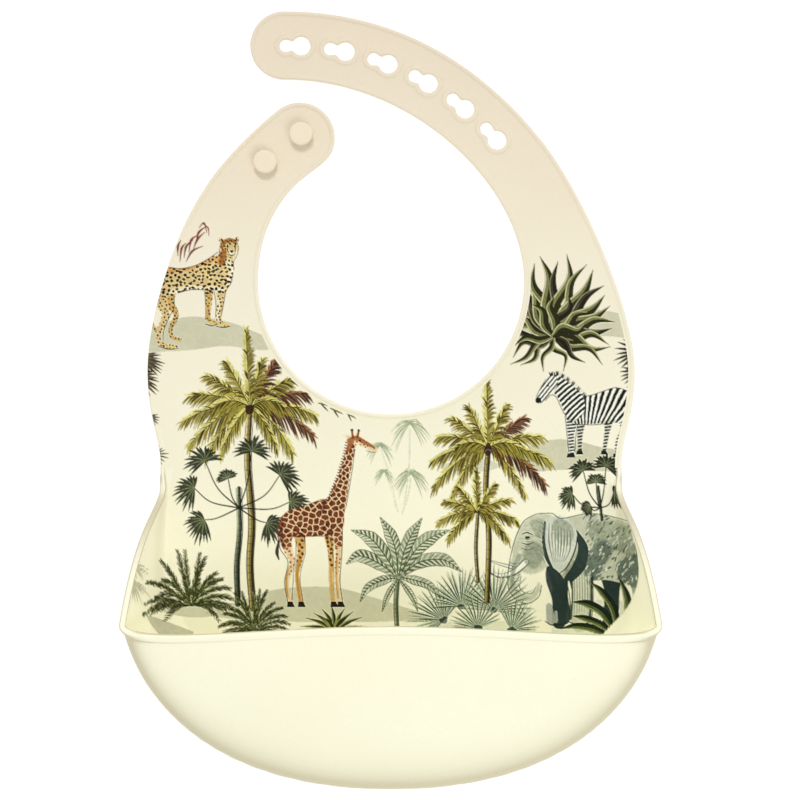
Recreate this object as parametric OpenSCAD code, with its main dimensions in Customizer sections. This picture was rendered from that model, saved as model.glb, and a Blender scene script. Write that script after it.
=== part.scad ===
// Silicone bib with a catch pocket, lying open on its back, front face up.
// X runs across the bib, Y from the pocket up to the neck, Z out of the front.
// The origin is on the table, under the middle of the whole outline.
// The moulding is split at its bending lines, and each line is a hinge on top.

/* [Sheet] */
// Thickness of the flat sheet
sheet_t = 2; // [1.6:0.1:2.4]
// Height of the rounded bead above the sheet, along every edge
bead_h = 0.6; // [0.4:0.1:1]
// Width of that bead
bead_w = 1.9; // [1.5:0.1:2.4]
// Half width of the panel at its narrow waist
waist_x = 95; // [92:0.5:97]

/* [Pocket] */
// Height of the pocket's lip above the table
lip_z = 44; // [36:1:50]
// Thickness of the pocket's wall at the lip
pocket_t = 1.7; // [1.4:0.1:2]
// Height at which the pocket's round bottom is widest
belly_z = 16; // [13:0.5:19]

/* [Neck opening] */
// Height of the opening's centre above the origin
neck_y = 49; // [48:0.5:50]
// Radius of the lower part of the opening
neck_r = 54.9; // [54:0.1:55.5]

/* [Studs] */
// Radius of a stud's head
head_r = 4.8; // [4.2:0.1:5.4]
// Height of a stud's head, without its neck
head_h = 2; // [1.6:0.1:2.6]
// Radius of the neck under the head
neck_stud_r = 2.5; // [2.2:0.1:2.6]
// Clear height of the neck, which holds the other strap
neck_stud_h = 2.6; // [2.4:0.1:3.2]
// Depth of the root that sits in the strap
root_h = 1; // [0.6:0.1:1.2]

/* [Keyholes] */
// Radius of the large lobe, which passes the stud's head when stretched
big_r = 3.9; // [3.6:0.1:4.1]
// Radius of the small lobe, which grips the stud's neck
small_r = 2.65; // [2.5:0.05:2.8]
// Distance between the centres of the two lobes
lobe_gap = 6.4; // [6:0.1:6.6]
// Width of the slot that joins the lobes
slot_w = 4.2; // [3.8:0.1:4.4]
// Distance from one keyhole to the next
key_pitch = 18.4; // [18:0.1:18.8]
// Turn from one keyhole to the next, as the strap curves
key_turn = 9.25; // [9:0.05:9.5]
// Number of keyholes
key_n = 6; // [6:1:6]
// Width of the raised band round each keyhole
key_rim = 1.8; // [1.2:0.1:2]

/* [Print] */
// Thickness of the printed film on the panel
film_t = 0.15; // [0.1:0.05:0.3]
// Clear margin between the film and the bead
film_gap = 0.6; // [0.3:0.1:1.5]

/* [Hidden] */

silicone = [0.93, 0.90, 0.82];
silicone_pale = [0.97, 0.95, 0.86];
print_tint = [0.84, 0.85, 0.74];

top_z = sheet_t + bead_h;     // top of the bead, where every bending line lies
waist_y = -28;                // bending line across the waist

// ---- curves ----
function bez(p, t) = pow(1 - t, 3) * p[0] + 3 * pow(1 - t, 2) * t * p[1]
                   + 3 * (1 - t) * t * t * p[2] + t * t * t * p[3];
// points of one curve, without its last
function run(p, n) = [for (i = [0:n - 1]) bez(p, i / n)];
function arc(c, r, a, b, n) = [for (i = [0:n - 1]) c + r * [cos(a + (b - a) * i / n), sin(a + (b - a) * i / n)]];
function unit(v) = v / norm(v);
function inward(p, i) = let (n = len(p), a = p[(i + n - 1) % n], b = p[(i + 1) % n], d = unit(b - a)) [-d[1], d[0]];
// a closed counter-clockwise outline moved inwards
function inset(p, d) = [for (i = [0:len(p) - 1]) p[i] + d * inward(p, i)];

// ---- outline of the flat part, counter-clockwise from the right waist ----
tip_key = [-44, 146.2];       // middle of the keyhole strap's round end
tip_key_r = 14;
tip_stud = [-37.6, 108.2];    // middle of the stud strap's round end
tip_stud_r = 14.4;

outline = concat(
    [[waist_x, waist_y - 24], [waist_x, waist_y - 12]],
    run([[waist_x, waist_y], [waist_x, -15], [100.5, -7], [100.5, 12]], 14),
    run([[100.5, 12], [100.5, 36], [80, 84], [62.8, 106]], 22),
    run([[62.8, 106], [35, 141.2], [-0.7, 160.2], [-44, 160.2]], 28),
    arc(tip_key, tip_key_r, 90, 270, 24),
    run([[-44, 132.2], [10, 132.2], [neck_r, 87.5], [neck_r, neck_y]], 40),
    arc([0, neck_y], neck_r, 0, -180, 60),
    run([[-neck_r, neck_y], [-neck_r, 66], [-49, 80], [-38, 90]], 14),
    run([[-38, 90], [-30, 97], [-23.2, 99], [-23.2, 108.2]], 9),
    arc(tip_stud, tip_stud_r, 0, 130, 20),
    run([[-46.9, 119.2], [-56, 112], [-71, 97.5], [-77.7, 85.7]], 10),
    run([[-77.7, 85.7], [-90.9, 65.7], [-100.5, 31], [-100.5, 12]], 18),
    run([[-100.5, 12], [-100.5, -7], [-waist_x, -15], [-waist_x, waist_y]], 14),
    [[-waist_x, waist_y], [-waist_x, waist_y - 12], [-waist_x, waist_y - 24]]
);

// ---- bending lines: a point on the line and the strap's heading there ----
fold_stud = [[-61, 84], 54];
fold_key_a = [[64, 80], 120];
fold_key_b = [key_spot(4) + 11.8 * heading(4), 147];
fold_key_c = [key_spot(2) + 11.8 * heading(2), 166];

// ---- keyholes along the strap, the first nearest to its round end ----
function key_spot(k) = k == 0 ? [-37, 146] : key_spot(k - 1)
    + key_pitch * [cos(-7.2 - key_turn * (k - 1)), sin(-7.2 - key_turn * (k - 1))];
function heading(k) = let (a = 179.5 - key_turn * k) [cos(a), sin(a)];

// a point on a bending line, at a distance to the right of the strap's heading
function on(f, s) = f[0] + s * [cos(f[1] - 90), sin(f[1] - 90)];

// the part of the flat moulding inside a boundary
module part_of(boundary) {
    intersection() {
        flat_sheet();
        translate([0, 0, -2]) linear_extrude(12) polygon(boundary);
    }
}

module bead_ring() {
    difference() {
        polygon(outline);
        polygon(inset(outline, bead_w));
    }
}

// the flat moulding with its bead, whole
module flat_sheet() {
    linear_extrude(sheet_t) polygon(outline);
    translate([0, 0, sheet_t]) linear_extrude(bead_h) bead_ring();
}

module keyhole_rim(k) {
    a = 179.5 - key_turn * k;
    p = key_spot(k);
    translate([p[0], p[1], sheet_t]) rotate([0, 0, a]) {
        cylinder(h = bead_h, r = big_r + key_rim, $fn = 64);
        translate([lobe_gap, 0, 0]) cylinder(h = bead_h, r = small_r + key_rim, $fn = 48);
        translate([0, -slot_w / 2 - key_rim, 0]) cube([lobe_gap, slot_w + 2 * key_rim, bead_h]);
    }
}

module keyhole_cut(k) {
    a = 179.5 - key_turn * k;
    p = key_spot(k);
    translate([p[0], p[1], -1]) rotate([0, 0, a]) {
        cylinder(h = 6, r = big_r, $fn = 64);
        translate([lobe_gap, 0, 0]) cylinder(h = 6, r = small_r, $fn = 48);
        translate([0, -slot_w / 2, 0]) cube([lobe_gap, slot_w, 6]);
    }
}

// ---- pocket: one sheet from the panel's edge, round the belly, to the lip ----
// Right half, station 0 at the waist, station side_n at the lip's corner,
// station half_n in the middle of the lip.
side_n = 12;
front_n = 20;
half_n = side_n + front_n;
lower_n = 10;                 // steps from the panel's edge to the belly
upper_n = 9;                  // steps from the belly to the lip
rows = lower_n + upper_n;

// edge of the flat panel under the pocket
function edge_pt(j) = j <= side_n
    ? bez([[89.5, waist_y], [94, -50], [94.5, -68], [87, -86]], j / side_n)
    : bez([[87, -86], [79, -109], [46, -141], [0, -141]], (j - side_n) / front_n);
// lip line, middle of the wall
function lip_pt(j) = j <= side_n
    ? bez([[waist_x - bead_w, waist_y, sheet_t / 2], [waist_x - bead_w, -47.5, sheet_t / 2],
           [100.1, -43, lip_z - 13], [106.7, -89.5, lip_z - 1.1]], j / side_n)
    : let (t = (j - side_n) / front_n)
      bez([[106.7, -89.5, lip_z - 1.1], [107.6, -100.5, lip_z], [54, -91.9, lip_z], [0, -91.9, lip_z]], t);
// widest line of the wall
function belly_pt(j) = j <= side_n
    ? let (s = j / side_n, b = edge_pt(j), l = lip_pt(j)) [b[0] + 0.95 * (l[0] - b[0]), l[1], l[2] - 0.16 * (l[2] - sheet_t / 2)]
    : let (t = (j - side_n) / front_n, p = bez([[105.7, -89.5], [104.2, -104], [88.7, -157.6], [0, -157.6]], t))
      [p[0], p[1], belly_z + (lip_z - 8 - belly_z) * pow(1 - t, 2)];

function blend(a, b, t) = a + (b - a) * t;
function lift(p, z) = [p[0], p[1], z];
// handles of the lower curve, edge to belly, and of the upper one, belly to lip
function lower_curve(j) = let (b = edge_pt(j), e = belly_pt(j),
        t = max(0, (j - side_n) / front_n), h = e[2] - sheet_t / 2)
    [lift(b, sheet_t / 2), lift(blend(b, e, blend(0.5, 0.78, t)), sheet_t / 2),
     blend(lift(blend(b, e, 0.72), sheet_t / 2 + 0.45 * h), e - [0, 0, 0.6 * h], t), e];
function upper_curve(j) = let (e = belly_pt(j), l = lip_pt(j), c = lower_curve(j),
        t = max(0, (j - side_n) / front_n), d = unit(e - c[2]))
    [e, e + d * blend(norm(l - e) * 0.33, 7, min(1, 3 * t)),
     blend(blend(l, e, 0.33), lift(blend(l, e, 0.74), l[2] - 4), min(1, 3 * t)), l];
function mid_pt(j, i) = i <= lower_n ? bez(lower_curve(j), i / lower_n)
                                     : bez(upper_curve(j), (i - lower_n) / upper_n);
function half_pt(j, i) = j <= half_n ? mid_pt(j, i)
    : let (p = mid_pt(2 * half_n - j, i)) [-p[0], p[1], p[2]];
last = 2 * half_n;
// the sheet's middle surface, and its normal away from the inside
mid = [for (j = [0:last]) [for (i = [0:rows]) half_pt(j, i)]];
function along(j, i) = j == 0 || j == last ? [0, -1, 0]
    : j == half_n ? [-1, 0, 0]
    : unit(mid[j + 1][i] - mid[j - 1][i]);
function across(j, i) = unit(mid[j][min(rows, i + 1)] - mid[j][max(0, i - 1)]);
function out_n(j, i) = i == 0 || j == 0 || j == last ? [0, 0, -1]
    : unit(cross(across(j, i), along(j, i)));
function wall(i) = blend(sheet_t, pocket_t, i / rows);
normals = [for (j = [0:last]) [for (i = [0:rows]) out_n(j, i)]];

module loft(rings, close = false) {
    m = len(rings[0]);
    n = len(rings);
    polyhedron(
        points = [for (r = rings) for (p = r) p],
        faces = concat(
            [for (j = [0:n - 2]) for (i = [0:m - 1]) let (k = (i + 1) % m) [j * m + i, j * m + k, (j + 1) * m + k]],
            [for (j = [0:n - 2]) for (i = [0:m - 1]) let (k = (i + 1) % m) [j * m + i, (j + 1) * m + k, (j + 1) * m + i]],
            [[for (i = [m - 1:-1:0]) i]],
            [[for (i = [0:m - 1]) (n - 1) * m + i]]
        ));
}

// ---- nodes ----
module lower_panel() color(silicone)
    linear_extrude(sheet_t) polygon([for (j = [last:-1:0]) [mid[j][0][0], mid[j][0][1]]]);

module catch_pocket() color(silicone_pale)
    loft([for (j = [0:last]) concat(
        [for (i = [0:rows]) mid[j][i] + normals[j][i] * wall(i) / 2],
        [for (i = [rows:-1:0]) mid[j][i] - normals[j][i] * wall(i) / 2])]);

// bead along the lip and down both sides to the waist
module pocket_lip() color(silicone_pale)
    loft([for (j = [0:last]) let (p = mid[j][rows], n = normals[j][rows],
            w = j == 0 ? [1, 0, 0] : j == last ? [-1, 0, 0] : across(j, rows),
            lo = sheet_t / 2, hi = sheet_t / 2 + bead_h)
        [p + n * lo, p + n * lo + w * bead_w * 0.7, p + n * (lo - 0.5) + w * bead_w,
         p - n * (hi - 0.5) + w * bead_w, p - n * hi + w * bead_w * 0.7, p - n * hi]]);

module upper_panel() color(silicone)
    part_of([[-125, waist_y], [125, waist_y], [125, 100], on(fold_key_a, 40), on(fold_key_a, -40),
             on(fold_stud, 30), on(fold_stud, -30), [-125, 100]]);

module stud_strap() color(silicone)
    difference() {
        part_of([on(fold_stud, -30), [-60, 128], [-17, 124], [-17, 95], on(fold_stud, 30)]);
        for (p = stud_spots) translate([p[0], p[1], sheet_t - root_h]) cylinder(h = 5, r = neck_stud_r, $fn = 48);
    }

stud_spots = [[-51.8, 98], [-37, 109.5]];

module stud(p) {
    z = sheet_t + neck_stud_h;
    c = 0.7;
    translate([p[0], p[1], 0]) rotate_extrude($fn = 72)
        polygon(concat(
            [[0, sheet_t - root_h], [neck_stud_r, sheet_t - root_h], [neck_stud_r, z], [head_r - 0.3, z], [head_r, z + 0.3]],
            [for (a = [0:15:90]) [head_r - c + c * cos(a), z + head_h - c + c * sin(a)]],
            [[0, z + head_h]]));
}

module upper_stud() color(silicone) stud(stud_spots[1]);
module lower_stud() color(silicone) stud(stud_spots[0]);

module key_part(first, final) {
    difference() {
        union() {
            children();
            for (k = [first:final]) keyhole_rim(k);
        }
        for (k = [first:final]) keyhole_cut(k);
    }
}

module keyhole_strap_root() color(silicone)
    key_part(4, 5) part_of([on(fold_key_a, 40), [100, 150], on(fold_key_b, 30), on(fold_key_b, -30), on(fold_key_a, -40)]);

module keyhole_strap_middle() color(silicone)
    key_part(2, 3) part_of([on(fold_key_b, 30), on(fold_key_c, 30), on(fold_key_c, -20), on(fold_key_b, -30)]);

module keyhole_strap_end() color(silicone)
    key_part(0, 1) part_of([on(fold_key_c, 30), [-70, 171], [-70, 128], on(fold_key_c, -20)]);

film_in = bead_w + film_gap;
module film(low, high) {
    translate([0, 0, sheet_t]) linear_extrude(film_t) intersection() {
        polygon(inset(outline, film_in));
        translate([-110, low]) square([220, high - low]);
    }
}

module upper_print() color(print_tint) film(waist_y, 72);

module lower_print() color(print_tint)
    translate([0, 0, sheet_t]) linear_extrude(film_t)
        intersection() {
            polygon(inset([for (j = [last:-1:0]) [mid[j][0][0], mid[j][0][1]]], 0.6));
            translate([-110, -97]) square([220, 97 + waist_y]);
        }

lower_panel();
upper_panel();
catch_pocket();
pocket_lip();
lower_print();
upper_print();
stud_strap();
upper_stud();
lower_stud();
keyhole_strap_root();
keyhole_strap_middle();
keyhole_strap_end();
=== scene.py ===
"""Looks for the silicone bib: smooth mouldings, studs, printed films, materials, light and camera."""
import math

import bmesh
import bpy
import numpy as np
from mathutils.geometry import delaunay_2d_cdt
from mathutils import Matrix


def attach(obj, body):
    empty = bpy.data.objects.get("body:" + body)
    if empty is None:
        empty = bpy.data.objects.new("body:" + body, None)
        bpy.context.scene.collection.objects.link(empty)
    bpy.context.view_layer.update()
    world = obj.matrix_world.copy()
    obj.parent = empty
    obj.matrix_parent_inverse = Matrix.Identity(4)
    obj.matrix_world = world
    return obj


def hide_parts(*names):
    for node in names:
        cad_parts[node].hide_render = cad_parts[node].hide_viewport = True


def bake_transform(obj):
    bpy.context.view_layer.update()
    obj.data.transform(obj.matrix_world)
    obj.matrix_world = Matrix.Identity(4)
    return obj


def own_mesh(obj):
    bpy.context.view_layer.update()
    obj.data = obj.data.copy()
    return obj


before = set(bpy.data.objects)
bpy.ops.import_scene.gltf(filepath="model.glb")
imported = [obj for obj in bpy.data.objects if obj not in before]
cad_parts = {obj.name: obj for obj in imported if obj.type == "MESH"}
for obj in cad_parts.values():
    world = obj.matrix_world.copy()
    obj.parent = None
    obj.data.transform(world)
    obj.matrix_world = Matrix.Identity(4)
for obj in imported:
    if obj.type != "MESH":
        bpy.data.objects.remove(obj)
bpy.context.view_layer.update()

# Everything below is built in millimetres in the CAD frame, and scaled once when a mesh is made.
MM = 0.001
SHEET, BEAD_H, BEAD_W, WAIST_X, WAIST_Y = 2.0, 0.6, 1.9, 95.0, -28.0
LIP_Z, LIP_T, BELLY_Z = 44.0, 1.7, 16.0
NECK_Y, NECK_R = 49.0, 54.9
CAM_X, CAM_H = 3.716, 1200.0


def bez(p, t):
    p, t = np.asarray(p, float), np.asarray(t, float)[:, None]
    return (1 - t) ** 3 * p[0] + 3 * (1 - t) ** 2 * t * p[1] + 3 * (1 - t) * t * t * p[2] + t ** 3 * p[3]


def arc(cx, cy, r, a, b, n=200):
    t = np.radians(np.linspace(a, b, n))
    return np.stack([cx + r * np.cos(t), cy + r * np.sin(t)], 1)


def smooth(x):
    x = np.clip(x, 0, 1)
    return x * x * (3 - 2 * x)


def even(path, step):
    """The same open line with points an even step apart."""
    seg = np.linalg.norm(np.diff(path, axis=0), axis=1)
    keep = np.concatenate([[True], seg > 1e-9])
    path = path[keep]
    s = np.concatenate([[0], np.cumsum(np.linalg.norm(np.diff(path, axis=0), axis=1))])
    n = max(2, int(round(s[-1] / step)) + 1)
    at = np.linspace(0, s[-1], n)
    return np.stack([np.interp(at, s, path[:, k]) for k in range(path.shape[1])], 1)


def left_normals(path):
    d = np.gradient(path, axis=0)
    d /= np.linalg.norm(d, axis=1)[:, None]
    n = np.stack([-d[:, 1], d[:, 0]], 1)
    for _ in range(3):
        n[1:-1] = (n[:-2] + 2 * n[1:-1] + n[2:]) / 4
    return n / np.linalg.norm(n, axis=1)[:, None]


T = np.linspace(0, 1, 200)
# the bib's edge from the right waist, over both straps, to the left waist
EDGE = even(np.concatenate([
    bez([[95, -28], [95, -15], [100.5, -7], [100.5, 12]], T),
    bez([[100.5, 12], [100.5, 36], [80, 84], [62.8, 106]], T),
    bez([[62.8, 106], [35, 141.2], [-0.7, 160.2], [-44, 160.2]], T),
    arc(-44, 146.2, 14, 90, 270),
    bez([[-44, 132.2], [10, 132.2], [54.9, 87.5], [54.9, 49]], T),
    arc(0, NECK_Y, NECK_R, 0, -180),
    bez([[-54.9, 49], [-54.9, 66], [-49, 80], [-38, 90]], T),
    bez([[-38, 90], [-30, 97], [-23.2, 99], [-23.2, 108.2]], T),
    arc(-37.6, 108.2, 14.4, 0, 130),
    bez([[-46.9, 119.2], [-56, 112], [-71, 97.5], [-77.7, 85.7]], T),
    bez([[-77.7, 85.7], [-90.9, 65.7], [-100.5, 31], [-100.5, 12]], T),
    bez([[-100.5, 12], [-100.5, -7], [-95, -15], [-95, -28]], T),
]), 0.75)
EDGE_N = left_normals(EDGE)
EDGE_N[0], EDGE_N[-1] = (-1, 0), (1, 0)

# section of the rounded bead: distance in from the edge, and height
BEAD = [(0.0, 0.42), (0.0, 1.75), (0.07, 2.06), (0.24, 2.33), (0.52, 2.53), (0.9, 2.6), (1.25, 2.55),
        (1.55, 2.38), (1.78, 2.16), (2.0, 2.03), (2.35, 2.0), (2.9, 2.0)]
UNDER = [(0.0, 0.42), (0.1, 0.14), (0.38, 0.0)]


def bead_height(d):
    """Height of the top face at a distance d in from the edge."""
    x = np.array([b[0] for b in BEAD[1:]])
    z = np.array([b[1] for b in BEAD[1:]])
    return np.interp(d, x, z)


STUDS = {"upper_stud": (-37.0, 109.5), "lower_stud": (-51.8, 98.0)}
FOLD_STUD = ((-61.0, 84.0), 54.0)
FOLD_KEY_A = ((64.0, 80.0), 120.0)
BIG_R, SMALL_R, LOBE_GAP, SLOT_W, KEY_PITCH, KEY_TURN = 3.9, 2.65, 6.4, 4.2, 18.4, 9.25


def heading(deg):
    return np.array([math.cos(math.radians(deg)), math.sin(math.radians(deg))])


KEYS = [np.array([-37.0, 146.0])]
for _k in range(1, 6):
    KEYS.append(KEYS[-1] + KEY_PITCH * heading(-7.2 - KEY_TURN * (_k - 1)))
KEY_DIR = [179.5 - KEY_TURN * k for k in range(6)]
FOLD_KEY_B = (tuple(KEYS[4] + 11.8 * heading(KEY_DIR[4])), 147.0)
FOLD_KEY_C = (tuple(KEYS[2] + 11.8 * heading(KEY_DIR[2])), 166.0)


def ahead(points, fold):
    """How far points lie past a bending line, along the strap."""
    return (np.asarray(points)[:, :2] - np.array(fold[0])) @ heading(fold[1])


# ---------------------------------------------------------------- pocket surface
def unit(v):
    return v / np.maximum(np.linalg.norm(v, axis=-1, keepdims=True), 1e-12)


def mix(a, b, t):
    return a + (b - a) * t


def pocket_sections(s_side, t_front):
    """Bezier handles of the lower and the upper curve of each station on the right half."""
    side = np.concatenate([np.ones(len(s_side), bool), np.zeros(len(t_front), bool)])
    u = np.concatenate([s_side, t_front])
    ts, tf = s_side, t_front
    edge = np.concatenate([bez([[89.5, WAIST_Y], [94, -50], [94.5, -68], [87, -86]], ts),
                           bez([[87, -86], [79, -109], [46, -141], [0, -141]], tf)])
    lip = np.concatenate([
        bez([[93.1, -28, 1], [93.1, -47.5, 1], [100.1, -43, LIP_Z - 13], [106.7, -89.5, LIP_Z - 1.1]], ts),
        bez([[106.7, -89.5, LIP_Z - 1.1], [107.6, -100.5, LIP_Z], [54, -91.9, LIP_Z], [0, -91.9, LIP_Z]], tf)])
    ns = len(ts)
    belly = np.zeros_like(lip)
    belly[:ns, 0] = edge[:ns, 0] + 0.95 * (lip[:ns, 0] - edge[:ns, 0])
    belly[:ns, 1] = lip[:ns, 1]
    belly[:ns, 2] = lip[:ns, 2] - 0.16 * (lip[:ns, 2] - 1)
    belly[ns:, :2] = bez([[105.7, -89.5], [104.2, -104], [88.7, -157.6], [0, -157.6]], tf)
    belly[ns:, 2] = BELLY_Z + (LIP_Z - 8 - BELLY_Z) * (1 - tf) ** 2
    t = np.where(side, 0.0, u)[:, None]
    h = (belly[:, 2] - 1)[:, None]
    flat = lambda p, z: np.concatenate([p[:, :2], np.broadcast_to(np.asarray(z, float), (len(p),))[:, None]], 1)
    e2 = flat(belly, 0)
    b2 = flat(edge, 0)
    c0 = flat(b2, 1)
    c1 = flat(mix(b2, e2, mix(0.5, 0.78, t)), 1)
    c2a = mix(b2, e2, 0.72)
    c2a[:, 2] = 1 + 0.45 * h[:, 0]
    c2b = belly - np.concatenate([np.zeros((len(h), 2)), 0.6 * h], 1)
    c2 = mix(c2a, c2b, t)
    d = unit(belly - c2)
    m = np.minimum(1, 3 * t)
    u1 = belly + d * mix(np.linalg.norm(lip - belly, axis=1)[:, None] * 0.33, 7, m)
    u2a = mix(lip, belly, 0.33)
    u2b = mix(lip, belly, 0.74)
    u2b[:, 2] = lip[:, 2] - 4
    u2 = mix(u2a, u2b, m)
    return np.stack([c0, c1, c2, belly], 1), np.stack([belly, u1, u2, lip], 1)


def bezier_rows(handles, t):
    t = t[None, :, None]
    h = handles[:, :, None, :]
    return (1 - t) ** 3 * h[:, 0] + 3 * (1 - t) ** 2 * t * h[:, 1] + 3 * (1 - t) * t * t * h[:, 2] + t ** 3 * h[:, 3]
# ---------------------------------------------------------------- mesh helpers
class Shell:
    """Collects vertices and faces of one closed skin."""

    def __init__(self):
        self.v, self.f, self.n = [], [], 0

    def add(self, pts):
        pts = np.asarray(pts, float)
        self.v.append(pts)
        self.n += len(pts)
        return np.arange(self.n - len(pts), self.n)

    def strip(self, a, b, closed=False):
        if closed:
            a, b = np.append(a, a[0]), np.append(b, b[0])
        self.f += [tuple(q) for q in np.stack([a[:-1], a[1:], b[1:], b[:-1]], 1).tolist()]

    def tris(self, t, flip=False):
        t = np.asarray(t)
        self.f += [tuple(q) for q in (t[:, ::-1] if flip else t).tolist()]

    def points(self):
        return np.concatenate(self.v)


def make_object(name, verts_mm, faces):
    me = bpy.data.meshes.new(name)
    me.from_pydata((np.asarray(verts_mm, float) * MM).tolist(), [], faces)
    me.update()
    ob = bpy.data.objects.new(name, me)
    bpy.context.scene.collection.objects.link(ob)
    return ob


def tidy(ob, sharp_deg=42.0):
    """One closed skin facing out, smooth apart from its real corners."""
    bm = bmesh.new()
    bm.from_mesh(ob.data)
    bmesh.ops.remove_doubles(bm, verts=bm.verts, dist=1e-7)
    loose = [v for v in bm.verts if not v.link_faces]
    bmesh.ops.delete(bm, geom=loose, context="VERTS")
    bmesh.ops.recalc_face_normals(bm, faces=bm.faces)
    limit = math.radians(sharp_deg)
    for e in bm.edges:
        if len(e.link_faces) == 2 and e.calc_face_angle(0.0) > limit:
            e.smooth = False
    for f in bm.faces:
        f.smooth = True
    bm.to_mesh(ob.data)
    bm.free()
    ob.data.update()
    return ob


def cdt(points, loops, extra=None):
    """Triangles inside closed loops of point indices. Returns (triangles as indices into points)."""
    edges = []
    for loop in loops:
        loop = list(loop)
        edges += list(zip(loop, loop[1:] + loop[:1]))
    verts, _, faces, orig, _, _ = delaunay_2d_cdt(points[:, :2].tolist(), edges, [], 1, 1e-6)
    back = [o[0] if o else -1 for o in orig]
    out = [[back[i] for i in f] for f in faces]
    out = np.array([f for f in out if min(f) >= 0], int)
    a, b, c = points[out[:, 0], :2], points[out[:, 1], :2], points[out[:, 2], :2]
    area = (b[:, 0] - a[:, 0]) * (c[:, 1] - a[:, 1]) - (b[:, 1] - a[:, 1]) * (c[:, 0] - a[:, 0])
    out[area < 0] = out[area < 0][:, ::-1]
    return out[np.abs(area) > 1e-9]


def inside(points, poly):
    """Even-odd test of points in a closed polygon."""
    x, y = points[:, 0], points[:, 1]
    res = np.zeros(len(points), bool)
    x0, y0 = poly[:, 0], poly[:, 1]
    x1, y1 = np.roll(x0, -1), np.roll(y0, -1)
    for i in range(0, len(points), 4000):
        px, py = x[i:i + 4000, None], y[i:i + 4000, None]
        cross = ((y0 > py) != (y1 > py)) & (px < (x1 - x0) * (py - y0) / np.where(y1 == y0, 1e-12, y1 - y0) + x0)
        res[i:i + 4000] = cross.sum(1) % 2 == 1
    return res


def far_from(points, others, dist):
    keep = np.ones(len(points), bool)
    for i in range(0, len(points), 2000):
        d2 = ((points[i:i + 2000, None, :] - others[None, :, :]) ** 2).sum(2).min(1)
        keep[i:i + 2000] = d2 > dist * dist
    return keep


def hex_grid(x0, x1, y0, y1, step):
    ys = np.arange(y0, y1, step * 0.866)
    out = []
    for k, y in enumerate(ys):
        xs = np.arange(x0 + (step / 2 if k % 2 else 0), x1, step)
        out.append(np.stack([xs, np.full(len(xs), y)], 1))
    return np.concatenate(out)


# ---------------------------------------------------------------- flat moulding
def keyhole_radius(theta, grow):
    """Distance from the keyhole's middle to its rim, where grow moves the rim outwards."""
    off = 3.83
    ux, uy = np.cos(theta), np.sin(theta)

    def circle(cx, r):
        b = -(cx) * ux
        return -b + np.sqrt(np.maximum(b * b - (cx * cx - r * r), 0.0))

    big = circle(-off, BIG_R + grow)
    small = circle(LOBE_GAP - off, SMALL_R + grow)
    hw = SLOT_W / 2 + grow
    slot = np.minimum(hw / np.maximum(np.abs(uy), 1e-6),
                      np.where(ux > 0, (LOBE_GAP - off) / np.maximum(ux, 1e-6), off / np.maximum(-ux, 1e-6)))
    k = 3.2
    return np.log(np.exp(k * big) + np.exp(k * small) + np.exp(k * slot)) / k - 0.0


KEY_TOP = [(0.0, 0.3), (0.0, 2.2), (0.08, 2.42), (0.3, 2.56), (0.7, 2.6), (1.3, 2.58), (1.62, 2.47), (1.9, 2.23),
           (2.12, 2.06), (2.45, 2.0)]


def floor_edge():
    """The line where the flat panel meets the pocket, from the left waist to the right."""
    right = np.concatenate([bez([[89.5, WAIST_Y], [94, -50], [94.5, -68], [87, -86]], T),
                            bez([[87, -86], [79, -109], [46, -141], [0, -141]], T)])
    right = even(right, 1.2)
    left = right[:-1] * [-1, 1]
    return np.concatenate([left, right[::-1]])


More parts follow.
